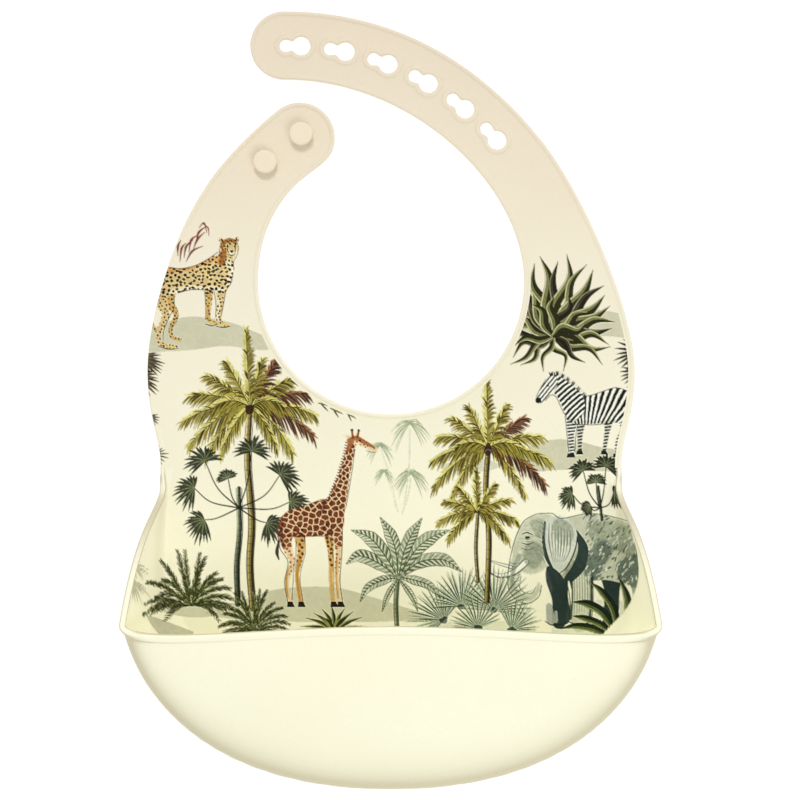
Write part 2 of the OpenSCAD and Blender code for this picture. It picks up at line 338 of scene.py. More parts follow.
def flat_moulding():
    sh = Shell()
    rings = []
    for d, z in BEAD:
        p = EDGE + EDGE_N * d
        rings.append(sh.add(np.column_stack([p, np.full(len(p), z)])))
    for a, b in zip(rings, rings[1:]):
        sh.strip(a, b)
    under = [rings[0]]
    for d, z in UNDER[1:]:
        p = EDGE + EDGE_N * d
        under.append(sh.add(np.column_stack([p, np.full(len(p), z)])))
    for a, b in zip(under, under[1:]):
        sh.strip(b, a)
    fe = floor_edge()
    top_edge = sh.add(np.column_stack([fe, np.full(len(fe), SHEET)]))
    low_edge = sh.add(np.column_stack([fe, np.zeros(len(fe))]))
    sh.strip(low_edge, top_edge)
    # keyholes
    th = np.linspace(0, 2 * np.pi, 96, endpoint=False)
    holes_top, holes_low, hole_polys = [], [], []
    for c, deg in zip(KEYS, KEY_DIR):
        h = heading(deg)
        g = np.array([-h[1], h[0]])
        mid = c + 3.83 * h
        prev = None
        for o, z in KEY_TOP:
            r = keyhole_radius(th, o)[:, None]
            p = mid + r * (np.cos(th)[:, None] * h + np.sin(th)[:, None] * g)
            ring = sh.add(np.column_stack([p, np.full(len(p), z)]))
            if prev is not None:
                sh.strip(prev, ring, True)
            else:
                first = ring
            prev = ring
        holes_top.append(prev)
        hole_polys.append(p)
        r = keyhole_radius(th, 0.22)[:, None]
        p = mid + r * (np.cos(th)[:, None] * h + np.sin(th)[:, None] * g)
        low = sh.add(np.column_stack([p, np.zeros(len(p))]))
        sh.strip(low, first, True)
        holes_low.append(low)
    # top and bottom faces
    for level, outer, holes, edge, z in ((1, rings[-1], holes_top, top_edge, SHEET), (0, under[-1], holes_low, low_edge, 0.0)):
        pts = sh.points()
        loop = np.concatenate([outer, edge])
        poly = pts[loop][:, :2]
        wide, close = hex_grid(-104, 104, -145, 165, 2.4), hex_grid(-104, 104, WAIST_Y + 0.7, -4.5, 0.8)
        rim = np.concatenate([poly] + [pts[h][:, :2] for h in holes])
        wide, close = wide[inside(wide, poly)], close[inside(close, poly)]
        wide, close = wide[far_from(wide, rim, 1.25)], close[far_from(close, rim, 0.5)]
        grid = np.concatenate([wide[(wide[:, 1] > -3.6) | (wide[:, 1] < WAIST_Y)], close])   # close rows where the sheet folds
        for h in holes:
            grid = grid[~inside(grid, pts[h][:, :2])]
        local = np.concatenate([poly] + [pts[h][:, :2] for h in holes] + [grid])
        n0 = len(poly)
        loops, at = [range(n0)], n0
        for h in holes:
            loops.append(range(at, at + len(h)))
            at += len(h)
        tri = cdt(local, loops)
        mid = local[tri].mean(1)
        keep = inside(mid, poly)
        for h in holes:
            keep &= ~inside(mid, pts[h][:, :2])
        tri = tri[keep]
        gid = sh.add(np.column_stack([grid, np.full(len(grid), z)]))
        table = np.concatenate([loop] + list(holes) + [gid])
        sh.tris(table[tri], flip=not level)
    # small closing faces in the plane of the waist, where the bead's section meets the pocket
    for col, e_top, e_low in ((0, top_edge[-1], low_edge[-1]), (-1, top_edge[0], low_edge[0])):
        section = [int(r[col]) for r in rings] + [int(e_top), int(e_low)] + [int(u[col]) for u in under[:0:-1]]
        sh.f.append(tuple(section))
    return sh


def halves(ob_mesh, co, no, cap=True):
    """The part of a mesh behind a plane, closed at the cut."""
    bm = bmesh.new()
    bm.from_mesh(ob_mesh)
    bmesh.ops.bisect_plane(bm, geom=bm.verts[:] + bm.edges[:] + bm.faces[:], dist=1e-7,
                           plane_co=co, plane_no=no, clear_outer=True)
    if cap:
        rim = [e for e in bm.edges if len(e.link_faces) == 1]
        bmesh.ops.holes_fill(bm, edges=rim, sides=0)
    return bm


def cut(mesh, co, no):
    """Splits a closed mesh by a plane into the part behind and the part ahead."""
    out = []
    for sign in (1, -1):
        bm = halves(mesh, co, [sign * x for x in no])
        me = bpy.data.meshes.new("part")
        bm.to_mesh(me)
        bm.free()
        out.append(me)
    return out


def only(mesh, keep):
    """The connected parts of a mesh whose middle passes a test."""
    bm = bmesh.new()
    bm.from_mesh(mesh)
    bm.verts.ensure_lookup_table()
    seen, drop = set(), []
    for v in bm.verts:
        if v.index in seen:
            continue
        stack, group = [v], []
        seen.add(v.index)
        while stack:
            w = stack.pop()
            group.append(w)
            for e in w.link_edges:
                o = e.other_vert(w)
                if o.index not in seen:
                    seen.add(o.index)
                    stack.append(o)
        c = np.mean([w.co[:] for w in group], axis=0)
        if not keep(c):
            drop += group
    bmesh.ops.delete(bm, geom=drop, context="VERTS")
    me = bpy.data.meshes.new("part")
    bm.to_mesh(me)
    bm.free()
    return me


def piece(name, mesh):
    ob = bpy.data.objects.new(name, mesh)
    bpy.context.scene.collection.objects.link(ob)
    bm = bmesh.new()
    bm.from_mesh(mesh)
    big = [f for f in bm.faces if len(f.verts) > 4]
    bmesh.ops.triangulate(bm, faces=big)
    bm.to_mesh(mesh)
    bm.free()
    return tidy(ob)


def build_flat_pieces():
    sh = flat_moulding()
    whole = make_object("whole", sh.points(), sh.f)
    tidy(whole)
    body, arms = cut(whole.data, (0, 0.045, 0), (0, 1, 0))
    left = only(arms, lambda c: c[0] < -0.03 and c[1] < 0.13 and c[0] < 0 and abs(c[0] + 0.06) < 0.035)
    right = only(arms, lambda c: not (c[0] < -0.03 and c[1] < 0.13 and abs(c[0] + 0.06) < 0.035))
    seam1 = (34.9, 116.0, 139.5)
    seam2 = (4.0, 136.0, 157.0)
    out = {"panel_body": body, "short_strap_sheet": left}
    rest = right
    for name, (x, y, deg) in (("keyhole_strap_root_sheet", seam1), ("keyhole_strap_middle_sheet", seam2)):
        d = heading(deg)
        near, rest = cut(rest, (x * MM, y * MM, 0), (d[0], d[1], 0))
        out[name] = near
    out["keyhole_strap_end_sheet"] = rest
    bpy.data.objects.remove(whole)
    return {n: piece(n, m) for n, m in out.items()}


# ---------------------------------------------------------------- pocket
LIP_IN = [(0.0, 2.03), (0.12, 2.13), (0.34, 2.36), (0.62, 2.54), (0.98, 2.6), (1.34, 2.54), (1.64, 2.35), (1.83, 2.06),
          (1.9, 1.75)]
LIP_OUT = [(1.9, 0.55), (1.82, 0.2), (1.6, -0.06), (1.2, -0.32), (0.7, -0.44), (0.0, -0.46)]
BAND = [(-0.6, -0.45), (-1.1, -0.36), (-1.4, -0.2), (-1.6, -0.06), (-1.85, 0.0)]
SIDE_N, FRONT_N, INNER_ROWS, OUTER_ROWS = 150, 165, 76, 40


def build_pocket():
    s = np.linspace(0, 1, SIDE_N + 1)
    t = np.linspace(0, 1, FRONT_N + 1)[1:]
    low, up = pocket_sections(s, t)
    fine = np.linspace(0, 1, 70)
    mid = np.concatenate([bezier_rows(low, fine), bezier_rows(up, fine)[:, 1:]], 1)
    mirror = mid[:-1][::-1] * [-1, 1, 1]
    mid = np.concatenate([mid, mirror])
    ns = len(mid)
    g = np.concatenate([s, np.ones(FRONT_N)])
    g = np.concatenate([g, g[:-1][::-1]])            # 0 at the waist, 1 on the front
    seg = np.linalg.norm(np.diff(mid, axis=1), axis=2)
    cum = np.concatenate([np.zeros((ns, 1)), np.cumsum(seg, 1)], 1)
    length = cum[:, -1]

    def at(dist):
        """Points of every station at a distance along its section (ns, k)."""
        out = np.zeros((ns, dist.shape[1], 3))
        for i in range(ns):
            for k in range(3):
                out[i, :, k] = np.interp(dist[i], cum[i], mid[i, :, k])
        return out

    c = np.minimum(1, length * 0.4 / 1.85)[:, None]

    def frame_at(dist):
        p = at(dist)
        e = 0.35
        ac = unit(at(np.minimum(dist + e, length[:, None])) - at(np.maximum(dist - e, 0)))
        al = np.gradient(p, axis=0)
        al[0] = al[-1] = (0, -1, 0)
        n = np.cross(ac, unit(al))
        n[0] = n[-1] = (0, 0, -1)
        n = unit(n)
        n[n[:, :, 2].mean(1) > 0.999] *= 1
        return p, n, ac

    def thickness(dist):
        lip = mix(SHEET, LIP_T, smooth(g / 0.3))[:, None]
        return mix(SHEET, lip, dist / length[:, None])

    f_in = np.linspace(0, 1, INNER_ROWS)[None, :]
    d_in = f_in * length[:, None]
    p, n, ac = frame_at(d_in)
    # outward is away from the inside: down at the panel's edge
    n[:, 0] = (0, 0, -1)
    if n[0, -1, 2] > 0:
        n = -n
    flip = np.sign((n[:, 1:2] * n[:, 0:1]).sum(-1, keepdims=True))
    half = thickness(d_in)[..., None] / 2
    inner = p - n * half
    f_out = np.linspace(0, 1, OUTER_ROWS)[None, :]
    d_out = np.concatenate([f_out * (length[:, None] - 1.85 * c),
                            length[:, None] + c * np.array([b[0] for b in BAND[::-1]])[None, 1:]], 1)
    q, m, _ = frame_at(d_out)
    m[:, 0] = (0, 0, -1)
    rise = np.concatenate([np.zeros(OUTER_ROWS), [-b[1] for b in BAND[::-1]][1:]])[None, :, None] * smooth(g / 0.7)[:, None, None]
    outer = q + m * (thickness(d_out)[..., None] / 2 + rise)
    lip, nl, wl = p[:, -1], n[:, -1], ac[:, -1]
    wl[0], wl[-1] = (1, 0, 0), (-1, 0, 0)
    tl = half[:, -1]
    round_lip = []
    fade = smooth(g / 0.7)[:, None]
    for a, z in LIP_IN:
        round_lip.append(lip + wl * a - nl * (z - 2 + tl))
    for a, z in LIP_OUT:
        zz = np.where(z < 0, z * fade, z)
        b = np.where(zz < 0, tl - zz, tl - zz * tl)
        aa = a
        round_lip.append(lip + wl * aa + nl * b)
    round_lip = np.stack(round_lip, 1)
    ring = np.concatenate([inner[:, :-1], round_lip, outer[:, ::-1]], 1)
    k = ring.shape[1]
    ids = np.arange(ns * k).reshape(ns, k)
    faces = []
    a, b = ids[:-1], ids[1:]
    quads = np.stack([a, np.roll(a, -1, 1), np.roll(b, -1, 1), b], -1).reshape(-1, 4)
    faces += [tuple(x) for x in quads.tolist()]
    faces.append(tuple(ids[0].tolist()))
    faces.append(tuple(ids[-1][::-1].tolist()))
    ob = make_object("catch_pocket_shell", ring.reshape(-1, 3), faces)
    ink_rows = np.zeros((ns, k), bool)
    ink_rows[:, :INNER_ROWS - 1] = True
    att = ob.data.attributes.new("ink_side", "FLOAT", "POINT")
    att.data.foreach_set("value", ink_rows.reshape(-1).astype(np.float32))
    bm = bmesh.new()
    bm.from_mesh(ob.data)
    bmesh.ops.triangulate(bm, faces=[f for f in bm.faces if len(f.verts) > 4])
    bm.to_mesh(ob.data)
    bm.free()
    return tidy(ob, 50)


# ---------------------------------------------------------------- studs
def build_stud(name, x, y):
    z = SHEET + 2.6
    prof = [(0.0, 1.0), (2.5, 1.0), (2.5, 2.0), (2.56, 2.35), (2.5, 2.9), (2.5, z - 0.35), (2.6, z - 0.1), (2.9, z),
            (4.35, z), (4.62, z + 0.06), (4.76, z + 0.22), (4.8, z + 0.45), (4.8, z + 1.15)]
    for a in range(10, 91, 10):
        r = math.radians(a)
        prof.append((3.95 + 0.85 * math.cos(r), z + 1.15 + 0.82 * math.sin(r)))
    prof += [(3.5, z + 1.985), (3.0, z + 1.975), (2.2, z + 1.965), (1.2, z + 1.965), (0.0, z + 1.965)]
    n = 96
    sh = Shell()
    th = np.linspace(0, 2 * np.pi, n, endpoint=False)
    rings = []
    for r, h in prof:
        if r == 0.0:
            rings.append(sh.add([[x, y, h]]))
        else:
            rings.append(sh.add(np.column_stack([x + r * np.cos(th), y + r * np.sin(th), np.full(n, h)])))
    for a, b in zip(rings, rings[1:]):
        if len(a) == 1:
            sh.f += [(int(a[0]), int(b[(i + 1) % n]), int(b[i])) for i in range(n)]
        elif len(b) == 1:
            sh.f += [(int(a[i]), int(a[(i + 1) % n]), int(b[0])) for i in range(n)]
        else:
            sh.strip(a, b, True)
    return tidy(make_object(name, sh.points(), sh.f), 60)
# ---------------------------------------------------------------- paint kit for the printed picture
# The picture is drawn in page units of 0.4129 mm, with the page's origin 391 right and 400 down, and Y down.
UNIT = 0.4129
PX0, PY0, PX1, PY1, SUB = 116, 212, 650, 645, 4
W, H = (PX1 - PX0) * SUB, (PY1 - PY0) * SUB
rng = np.random.default_rng(7)
ink_rgb = np.ones((H, W, 3), np.float32)
ink_a = np.zeros((H, W), np.float32)


def cloud(cell, octaves=3, seed=1):
    """Smooth noise over the page, about -1 to 1."""
    r = np.random.default_rng(seed)
    out = np.zeros((H, W), np.float32)
    amp = 1.0
    for _ in range(octaves):
        gh, gw = int(H / cell) + 3, int(W / cell) + 3
        g = r.uniform(-1, 1, (gh, gw)).astype(np.float32)
        y, x = np.arange(H) / cell, np.arange(W) / cell
        yi, xi = y.astype(int), x.astype(int)
        fy, fx = smooth(y - yi)[:, None].astype(np.float32), smooth(x - xi)[None, :].astype(np.float32)
        a = g[yi][:, xi] * (1 - fx) + g[yi][:, xi + 1] * fx
        b = g[yi + 1][:, xi] * (1 - fx) + g[yi + 1][:, xi + 1] * fx
        out += amp * (a * (1 - fy) + b * fy)
        cell, amp = max(2.0, cell / 2.2), amp * 0.55
    return out / 1.6


NOISE_BIG = cloud(90, 3, 3)
NOISE_FINE = cloud(9, 2, 4)


def spline(points, n=8, closed=False):
    """Catmull-Rom curve through points."""
    p = np.asarray(points, float)
    if closed:
        q = np.concatenate([p[-1:], p, p[:2]])
    else:
        q = np.concatenate([2 * p[:1] - p[1:2], p, 2 * p[-1:] - p[-2:-1]])
    out = []
    t = np.linspace(0, 1, n, endpoint=False)[:, None]
    for i in range(len(q) - 3):
        a, b, c, d = q[i:i + 4]
        out.append(0.5 * (2 * b + (c - a) * t + (2 * a - 5 * b + 4 * c - d) * t * t + (3 * b - a - 3 * c + d) * t ** 3))
    if not closed:
        out.append(q[-2:-1])
    return np.concatenate(out)


def cover(polys):
    """Antialiased cover of the union of closed shapes. Returns (slice, array) or None."""
    xs, ys, xe, ye = [], [], [], []
    for p in polys:
        p = (np.asarray(p, float) - (PX0, PY0)) * SUB
        a = np.sum(p[:, 0] * np.roll(p[:, 1], -1) - np.roll(p[:, 0], -1) * p[:, 1])
        if a < 0:
            p = p[::-1]
        q = np.roll(p, -1, 0)
        xs.append(p[:, 0]); ys.append(p[:, 1]); xe.append(q[:, 0]); ye.append(q[:, 1])
    if not xs:
        return None
    x0, y0, x1, y1 = map(np.concatenate, (xs, ys, xe, ye))
    bx0, bx1 = int(max(0, np.floor(x0.min()) - 1)), int(min(W, np.ceil(x0.max()) + 2))
    by0, by1 = int(max(0, np.floor(y0.min()) - 1)), int(min(H, np.ceil(y0.max()) + 2))
    if bx1 <= bx0 or by1 <= by0:
        return None
    up = y1 > y0
    lo, hi = np.where(up, y0, y1), np.where(up, y1, y0)
    r0 = np.clip(np.ceil(lo - 0.5).astype(int), by0, by1)
    r1 = np.clip(np.ceil(hi - 0.5).astype(int), by0, by1)
    cnt = np.maximum(r1 - r0, 0)
    if cnt.sum() == 0:
        return None
    e = np.repeat(np.arange(len(x0)), cnt)
    start = np.repeat(np.cumsum(cnt) - cnt, cnt)
    row = r0[e] + (np.arange(cnt.sum()) - start)
    t = (row + 0.5 - y0[e]) / (y1[e] - y0[e])
    x = np.clip(x0[e] + t * (x1[e] - x0[e]), bx0, bx1 - 1.001) - bx0
    sign = np.where(up[e], -1.0, 1.0)
    xi = np.floor(x).astype(int)
    fr = x - xi
    w, h = bx1 - bx0 + 1, by1 - by0
    base = (row - by0) * w + xi
    acc = np.bincount(base, sign * (1 - fr), w * h) + np.bincount(base + 1, sign * fr, w * h + 1)[:w * h]
    cov = np.clip(np.abs(np.cumsum(acc.reshape(h, w), 1)), 0, 1)[:, :-1]
    return (slice(by0, by1), slice(bx0, bx1)), cov.astype(np.float32)


def lay(polys, colour, alpha=1.0, vary=0.06, within=None, soft=0.0):
    """Paints shapes over the page. within is a cover that limits them."""
    got = cover(polys)
    if got is None:
        return
    sl, cov = got
    if soft > 0:
        k = max(1, int(soft * SUB))
        g = 2 * k
        lo = [min(g, sl[i].start) for i in (0, 1)]
        hi = [min(g, (H, W)[i] - sl[i].stop) for i in (0, 1)]
        cov = np.pad(cov, [(max(0, lo[i]), max(0, hi[i])) for i in (0, 1)])
        sl = tuple(slice(sl[i].start - lo[i], sl[i].stop + max(0, hi[i])) for i in (0, 1))
        for ax in (0, 1):
            for _ in range(2):
                c = np.cumsum(np.pad(cov, [(k + 1, k) if i == ax else (0, 0) for i in (0, 1)]), ax)
                n = cov.shape[ax]
                cov = (np.take(c, range(2 * k + 1, 2 * k + 1 + n), ax) - np.take(c, range(0, n), ax)) / (2 * k + 1)
    if within is not None:
        cov = cov * within[sl]
    put(sl, cov, colour, alpha, vary)


def put(sl, cov, colour, alpha=1.0, vary=0.06):
    c = np.array(colour, np.float32) / 255
    tone = 1 + vary * (0.6 * NOISE_BIG[sl] + 0.6 * NOISE_FINE[sl])
    a = cov * alpha
    old = ink_a[sl]
    new = a + old * (1 - a)
    safe = np.maximum(new, 1e-6)[..., None]
    rgb = np.clip(c * tone[..., None], 0, 1)
    ink_rgb[sl] = (rgb * a[..., None] + ink_rgb[sl] * (old * (1 - a))[..., None]) / safe
    ink_a[sl] = new


def mask_of(polys):
    full = np.zeros((H, W), np.float32)
    got = cover(polys)
    if got is not None:
        full[got[0]] = got[1]
    return full


def stroke(points, widths, n=7, smooth_it=True):
    """A tapered stroke as a closed shape."""
    p = spline(points, n) if smooth_it and len(points) > 2 else np.asarray(points, float)
    w = np.interp(np.linspace(0, 1, len(p)), np.linspace(0, 1, len(widths)), widths)
    d = np.gradient(p, axis=0)
    d /= np.maximum(np.linalg.norm(d, axis=1), 1e-9)[:, None]
    nrm = np.stack([-d[:, 1], d[:, 0]], 1) * (w / 2)[:, None]
    caps = []
    for at, sgn, k in ((p[-1], 1, -1), (p[0], -1, 0)):
        r = w[k] / 2
        if r > 0.8:
            a0 = math.atan2(sgn * d[k][1], sgn * d[k][0])
            ang = np.linspace(a0 + math.pi / 2, a0 - math.pi / 2, 7)
            caps.append(at + r * np.stack([np.cos(ang), np.sin(ang)], 1))
        else:
            caps.append(np.zeros((0, 2)))
    return np.concatenate([p + nrm, caps[0], (p - nrm)[::-1], caps[1]])


def blade(x, y, ang, length, width, curl=0.0):
    """A pointed leaf from a point. ang is in degrees, up is 90; curl bends it downwards."""
    t = np.linspace(0, 1, 7)
    a = math.radians(ang)
    px = x + length * t * math.cos(a)
    py = y - length * t * math.sin(a) + curl * length * t * t
    w = width * np.sin(np.pi * np.clip(0.12 + 0.88 * t, 0, 1)) ** 0.8
    w[-1] = 0.05
    return stroke(np.stack([px, py], 1), w, smooth_it=False)


def blob(x, y, rx, ry, wob=0.2, n=9, turn=0.0, r=rng):
    a = np.linspace(0, 2 * np.pi, n, endpoint=False) + r.uniform(0, 6)
    k = 1 + r.uniform(-wob, wob, n)
    p = np.stack([rx * k * np.cos(a), ry * k * np.sin(a)], 1)
    c, s = math.cos(turn), math.sin(turn)
    return spline(p @ np.array([[c, s], [-s, c]]) + (x, y), 4, True)


# ---- plants
def frond(x, y, ang, length, droop, leaf, r, n=26, width=1.5, hang=0.35, spread=52):
    """Leaflets and rib of one feather frond."""
    a = math.radians(ang)
    t = np.linspace(0, 1, 14)
    rx, ry = x + length * t * math.cos(a), y - length * t * math.sin(a) + droop * length * t * t
    rib = stroke(np.stack([rx, ry], 1), [1.5, 1.0, 0.4], smooth_it=False)
    leaves = []
    for k in range(n):
        u = 0.1 + 0.9 * k / (n - 1)
        bx, by = np.interp(u, t, rx), np.interp(u, t, ry)
        tang = math.degrees(math.atan2(length * math.sin(a) - 2 * droop * length * u, length * math.cos(a)))
        for side in (-1, 1):
            ln = leaf * (0.45 + 0.75 * math.sin(math.pi * (0.12 + 0.8 * u))) * r.uniform(0.75, 1.15)
            leaves.append(blade(bx, by, tang + side * (spread * (1 - 0.45 * u)) + r.uniform(-9, 9), ln, width * r.uniform(0.8, 1.2), hang))
    return rib, leaves


def feather_palm(x, y, fronds, dark, mid, light, r, leaf=14, trunk=None, bark=((104, 92, 52), (158, 140, 78), (70, 62, 38))):
    if trunk is not None:
        pts, w = trunk
        lay([stroke(pts, w)], bark[1], 0.95, 0.12)
        m = mask_of([stroke(pts, w)])
        sp = spline(pts, 10)
        wid = max(w)
        lay([stroke(sp + (wid * 0.28, 0), [wid * 0.45] * 3, smooth_it=False)], bark[0], 0.85, 0.1, within=m)
        marks = []
        for q in sp[::2]:
            marks.append(stroke([(q[0] - wid, q[1] + 0.8), (q[0] + wid, q[1] - 0.6)], [0.5, 0.7], smooth_it=False))
        lay(marks, bark[2], 0.5, 0.1, within=m)
        lay([stroke(sp + (-wid * 0.42, 0), [0.6, 0.8, 0.6], smooth_it=False)], bark[2], 0.7, 0.1)
    back, top, ribs, shine = [], [], [], []
    for ang, length, droop in fronds:
        rib, ls = frond(x, y, ang, length, droop, leaf, r, n=int(10 + length * 0.28))
        ribs.append(rib)
        k = len(ls)
        order = r.permutation(k)
        back += [ls[i] for i in order[:int(k * 0.55)]]
        top += [ls[i] for i in order[int(k * 0.55):int(k * 0.87)]]
        shine += [ls[i] for i in order[int(k * 0.87):]]
    lay(back, dark, 0.96, 0.15)
    lay(top, mid, 0.95, 0.18)
    lay(shine, light, 0.9, 0.15)
    lay(ribs, dark, 0.9, 0.1)
    lay([stroke(np.stack([np.linspace(x, x + 0.55 * L * math.cos(math.radians(a)), 6),
                          y - np.linspace(0, 0.55 * L, 6) * math.sin(math.radians(a)) + dr * L * np.linspace(0, 0.55, 6) ** 2 - 0.7], 1),
                [0.7, 0.3], smooth_it=False) for a, L, dr in fronds], light, 0.8, 0.1)


def fan(x, y, face, spread, length, r, n=17, width=2.2, curl=0.12):
    out = []
    for k in range(n):
        a = face - spread / 2 + spread * k / (n - 1)
        edge = 1 - 0.22 * abs(2 * k / (n - 1) - 1) ** 2
        out.append(blade(x, y, a + r.uniform(-2, 2), length * edge * r.uniform(0.88, 1.08), width, curl))
    return out


def fan_palm(trunk, width, fans, dark, light, r, bark=(58, 66, 52)):
    lay([stroke(trunk, width)], bark, 0.95, 0.15)
    crown = trunk[0]
    stems, leaves, shine = [], [], []
    for fx, fy, face, spread, length in fans:
        stems.append(stroke([crown, ((crown[0] + fx) / 2, (crown[1] + fy) / 2 - 3), (fx, fy)], [1.3, 0.9, 0.8]))
        f = fan(fx, fy, face, spread, length, r)
        leaves += f
        shine += [blade(fx, fy, face - spread / 2 + spread * (k + 0.5) / 12, length * 0.7, 0.7, 0.1) for k in range(0, 12, 2)]
    lay(stems, dark, 0.95, 0.1)
    lay(leaves, dark, 0.96, 0.15)
    lay(shine, light, 0.75, 0.1)


def bush(x, y, fronds, dark, mid, r, leaf=7, width=1.3):
    ribs, back, top = [], [], []
    for ang, length, droop in fronds:
        rib, ls = frond(x + r.uniform(-2, 2), y, ang, length, droop, leaf, r, n=int(9 + length * 0.3), width=width, hang=0.12, spread=40)
        ribs.append(rib)
        order = r.permutation(len(ls))
        back += [ls[i] for i in order[:int(len(ls) * 0.6)]]
        top += [ls[i] for i in order[int(len(ls) * 0.6):]]
    lay(back, dark, 0.95, 0.15)
    lay(top, mid, 0.9, 0.15)
    lay(ribs, dark, 0.95, 0.1)


def strap_leaf(pts, w, dark, mid, light):
    """A long fleshy leaf with a dark side, a pale side and a rib."""
    body = stroke(pts, w, n=9)
    m = mask_of([body])
    lay([body], mid, 0.97, 0.15)
    sp = spline(pts, 9)
    ww = np.interp(np.linspace(0, 1, len(sp)), np.linspace(0, 1, len(w)), w)
    d = np.gradient(sp, axis=0)
    d /= np.maximum(np.linalg.norm(d, axis=1), 1e-9)[:, None]
    nr = np.stack([-d[:, 1], d[:, 0]], 1)
    lay([stroke(sp + nr * ww[:, None] * 0.28, ww * 0.5, smooth_it=False)], dark, 0.9, 0.12, within=m)
    lay([stroke(sp - nr * ww[:, None] * 0.4, np.maximum(ww * 0.12, 0.35), smooth_it=False)], light, 0.9, 0.1, within=m)
    lay([stroke(sp, [0.5, 0.4, 0.2], smooth_it=False)], dark, 0.8, 0.1)
    lay([stroke(sp + nr * ww[:, None] * 0.5, [0.45, 0.45, 0.3], smooth_it=False)], [c * 0.6 for c in dark], 0.7, 0.1)


def mound(points, colour, alpha=0.9, soft=0.0):
    lay([spline(points, 8, True)], colour, alpha, 0.05, soft=soft)
# ---------------------------------------------------------------- the picture: a made-up savanna
MOUND = (201, 200, 171)
OLIVE_D, OLIVE_M, OLIVE_L = (68, 56, 18), (156, 146, 68), (208, 202, 122)
BROWN_D, BROWN_M, BROWN_L = (58, 34, 18), (104, 68, 42), (150, 106, 68)
GREEN_D, GREEN_M, GREEN_L = (36, 42, 26), (74, 80, 54), (132, 140, 108)


def scatter(x0, y0, x1, y1, rad, r, tries=3500):
    """Points at random, none nearer to another than a spacing that may vary from place to place."""
    cand = np.stack([r.uniform(x0, x1, tries), r.uniform(y0, y1, tries)], 1)
    kept = []
    arr = np.zeros((tries, 2))
    for c in cand:
        k = len(kept)
        if k == 0 or ((arr[:k] - c) ** 2).sum(1).min() > rad(c[0], c[1]) ** 2:
            arr[k] = c
            kept.append(c)
    return np.array(kept)


def crazed(m, seeds, gap):
    """Cover of the cells around seeds, parted by pale seams, inside a mask."""
    ys, xs = np.where(m > 0.02)
    p = np.stack([xs / SUB + PX0, ys / SUB + PY0], 1).astype(np.float32)
    p = p + np.stack([NOISE_FINE[ys, xs], NOISE_FINE[ys, (xs * 7) % W]], 1) * 0.5
    s = seeds.astype(np.float32)
    out = np.zeros((H, W), np.float32)
    for i in range(0, len(p), 20000):
        d = np.sqrt(((p[i:i + 20000, None] - s[None]) ** 2).sum(2))
        two = np.partition(d, 1, axis=1)[:, :2]
        out[ys[i:i + 20000], xs[i:i + 20000]] = np.clip((two[:, 1] - two[:, 0] - gap) * SUB * 0.5 + 0.5, 0, 1)
    return out * m


def field_lines(m, phase, share=0.5):
    """Dark bands of a rising phase, inside a mask. phase takes page x and y."""
    ys, xs = np.where(m > 0.02)
    v = phase(xs / SUB + PX0, ys / SUB + PY0)
    band = np.cos(2 * np.pi * v + 0.9 * NOISE_BIG[ys, xs] + 0.5 * NOISE_FINE[ys, xs])
    out = np.zeros((H, W), np.float32)
    out[ys, xs] = np.clip((band - np.cos(np.pi * share)) * 2.2 + 0.5, 0, 1)
    return out * m


ALL = (slice(0, H), slice(0, W))


def paint_ground():
    mound([(118, 349), (150, 330), (176, 319), (200, 317), (232, 323), (262, 335), (290, 346), (262, 350), (225, 346), (190, 350), (150, 352), (122, 353)], MOUND, 0.85)
    mound([(206, 612), (240, 601), (270, 591), (300, 587), (338, 588), (375, 598), (410, 609), (444, 618), (400, 621), (340, 622), (270, 621), (225, 618)], MOUND, 0.85)
    mound([(160, 610), (182, 604), (215, 602), (250, 606), (230, 614), (190, 617)], MOUND, 0.75)
    mound([(502, 468), (520, 452), (545, 441), (572, 440), (600, 447), (636, 454), (640, 470), (600, 471), (560, 470), (528, 472)], MOUND, 0.85)
    mound([(500, 338), (535, 318), (575, 309), (612, 312), (640, 322), (640, 338), (600, 336), (560, 343), (522, 344)], MOUND, 0.8)
    lay([[(145, 614), (160, 619), (194, 632), (190, 640), (164, 640), (152, 626)]], (192, 190, 165), 0.85)
    mound([(440, 468), (462, 459), (482, 458), (500, 466), (476, 472)], (205, 206, 182), 0.8)
    mound([(556, 616), (575, 603), (605, 600), (640, 606), (640, 640), (560, 640)], (224, 227, 202), 0.85)
    mound([(420, 630), (450, 622), (480, 620), (520, 624), (510, 634)], (218, 222, 198), 0.7)


def paint_papyrus(r):
    pale, paler, deep = (180, 190, 154), (200, 206, 176), (146, 160, 128)
    stems, rays, more = [], [], []
    for x, y, bx, by, ln in ((410, 424, 404, 508, 22), (380, 446, 396, 508, 15), (384, 472, 398, 512, 11), (411, 474, 402, 514, 20)):
        stems.append(stroke([(x, y), ((x + bx) / 2 + 2, (y + by) / 2), (bx, by)], [1.0, 0.9, 0.6]))
        for k in range(30):
            a = -40 + 260 * k / 29 + r.uniform(-5, 5)
            l2 = ln * r.uniform(0.65, 1.0)
            (rays if k % 3 else more).append(blade(x, y, a, l2, 1.15, 0.85))
    lay(rays, pale, 0.85, 0.15)
    lay(more, deep, 0.75, 0.15)
    lay(stems, paler, 0.95, 0.1)


def paint_ghosts(r):
    rays = []
    for x, y, ln, a0, a1 in ((133, 564, 20, -105, -8), (132, 580, 24, -100, -20)):
        rays += [blade(x, y, a0 + (a1 - a0) * k / 8 + r.uniform(-4, 4), ln * r.uniform(0.6, 1), 1.7, 0.25) for k in range(9)]
    lay(rays, (184, 182, 156), 0.85, 0.1)


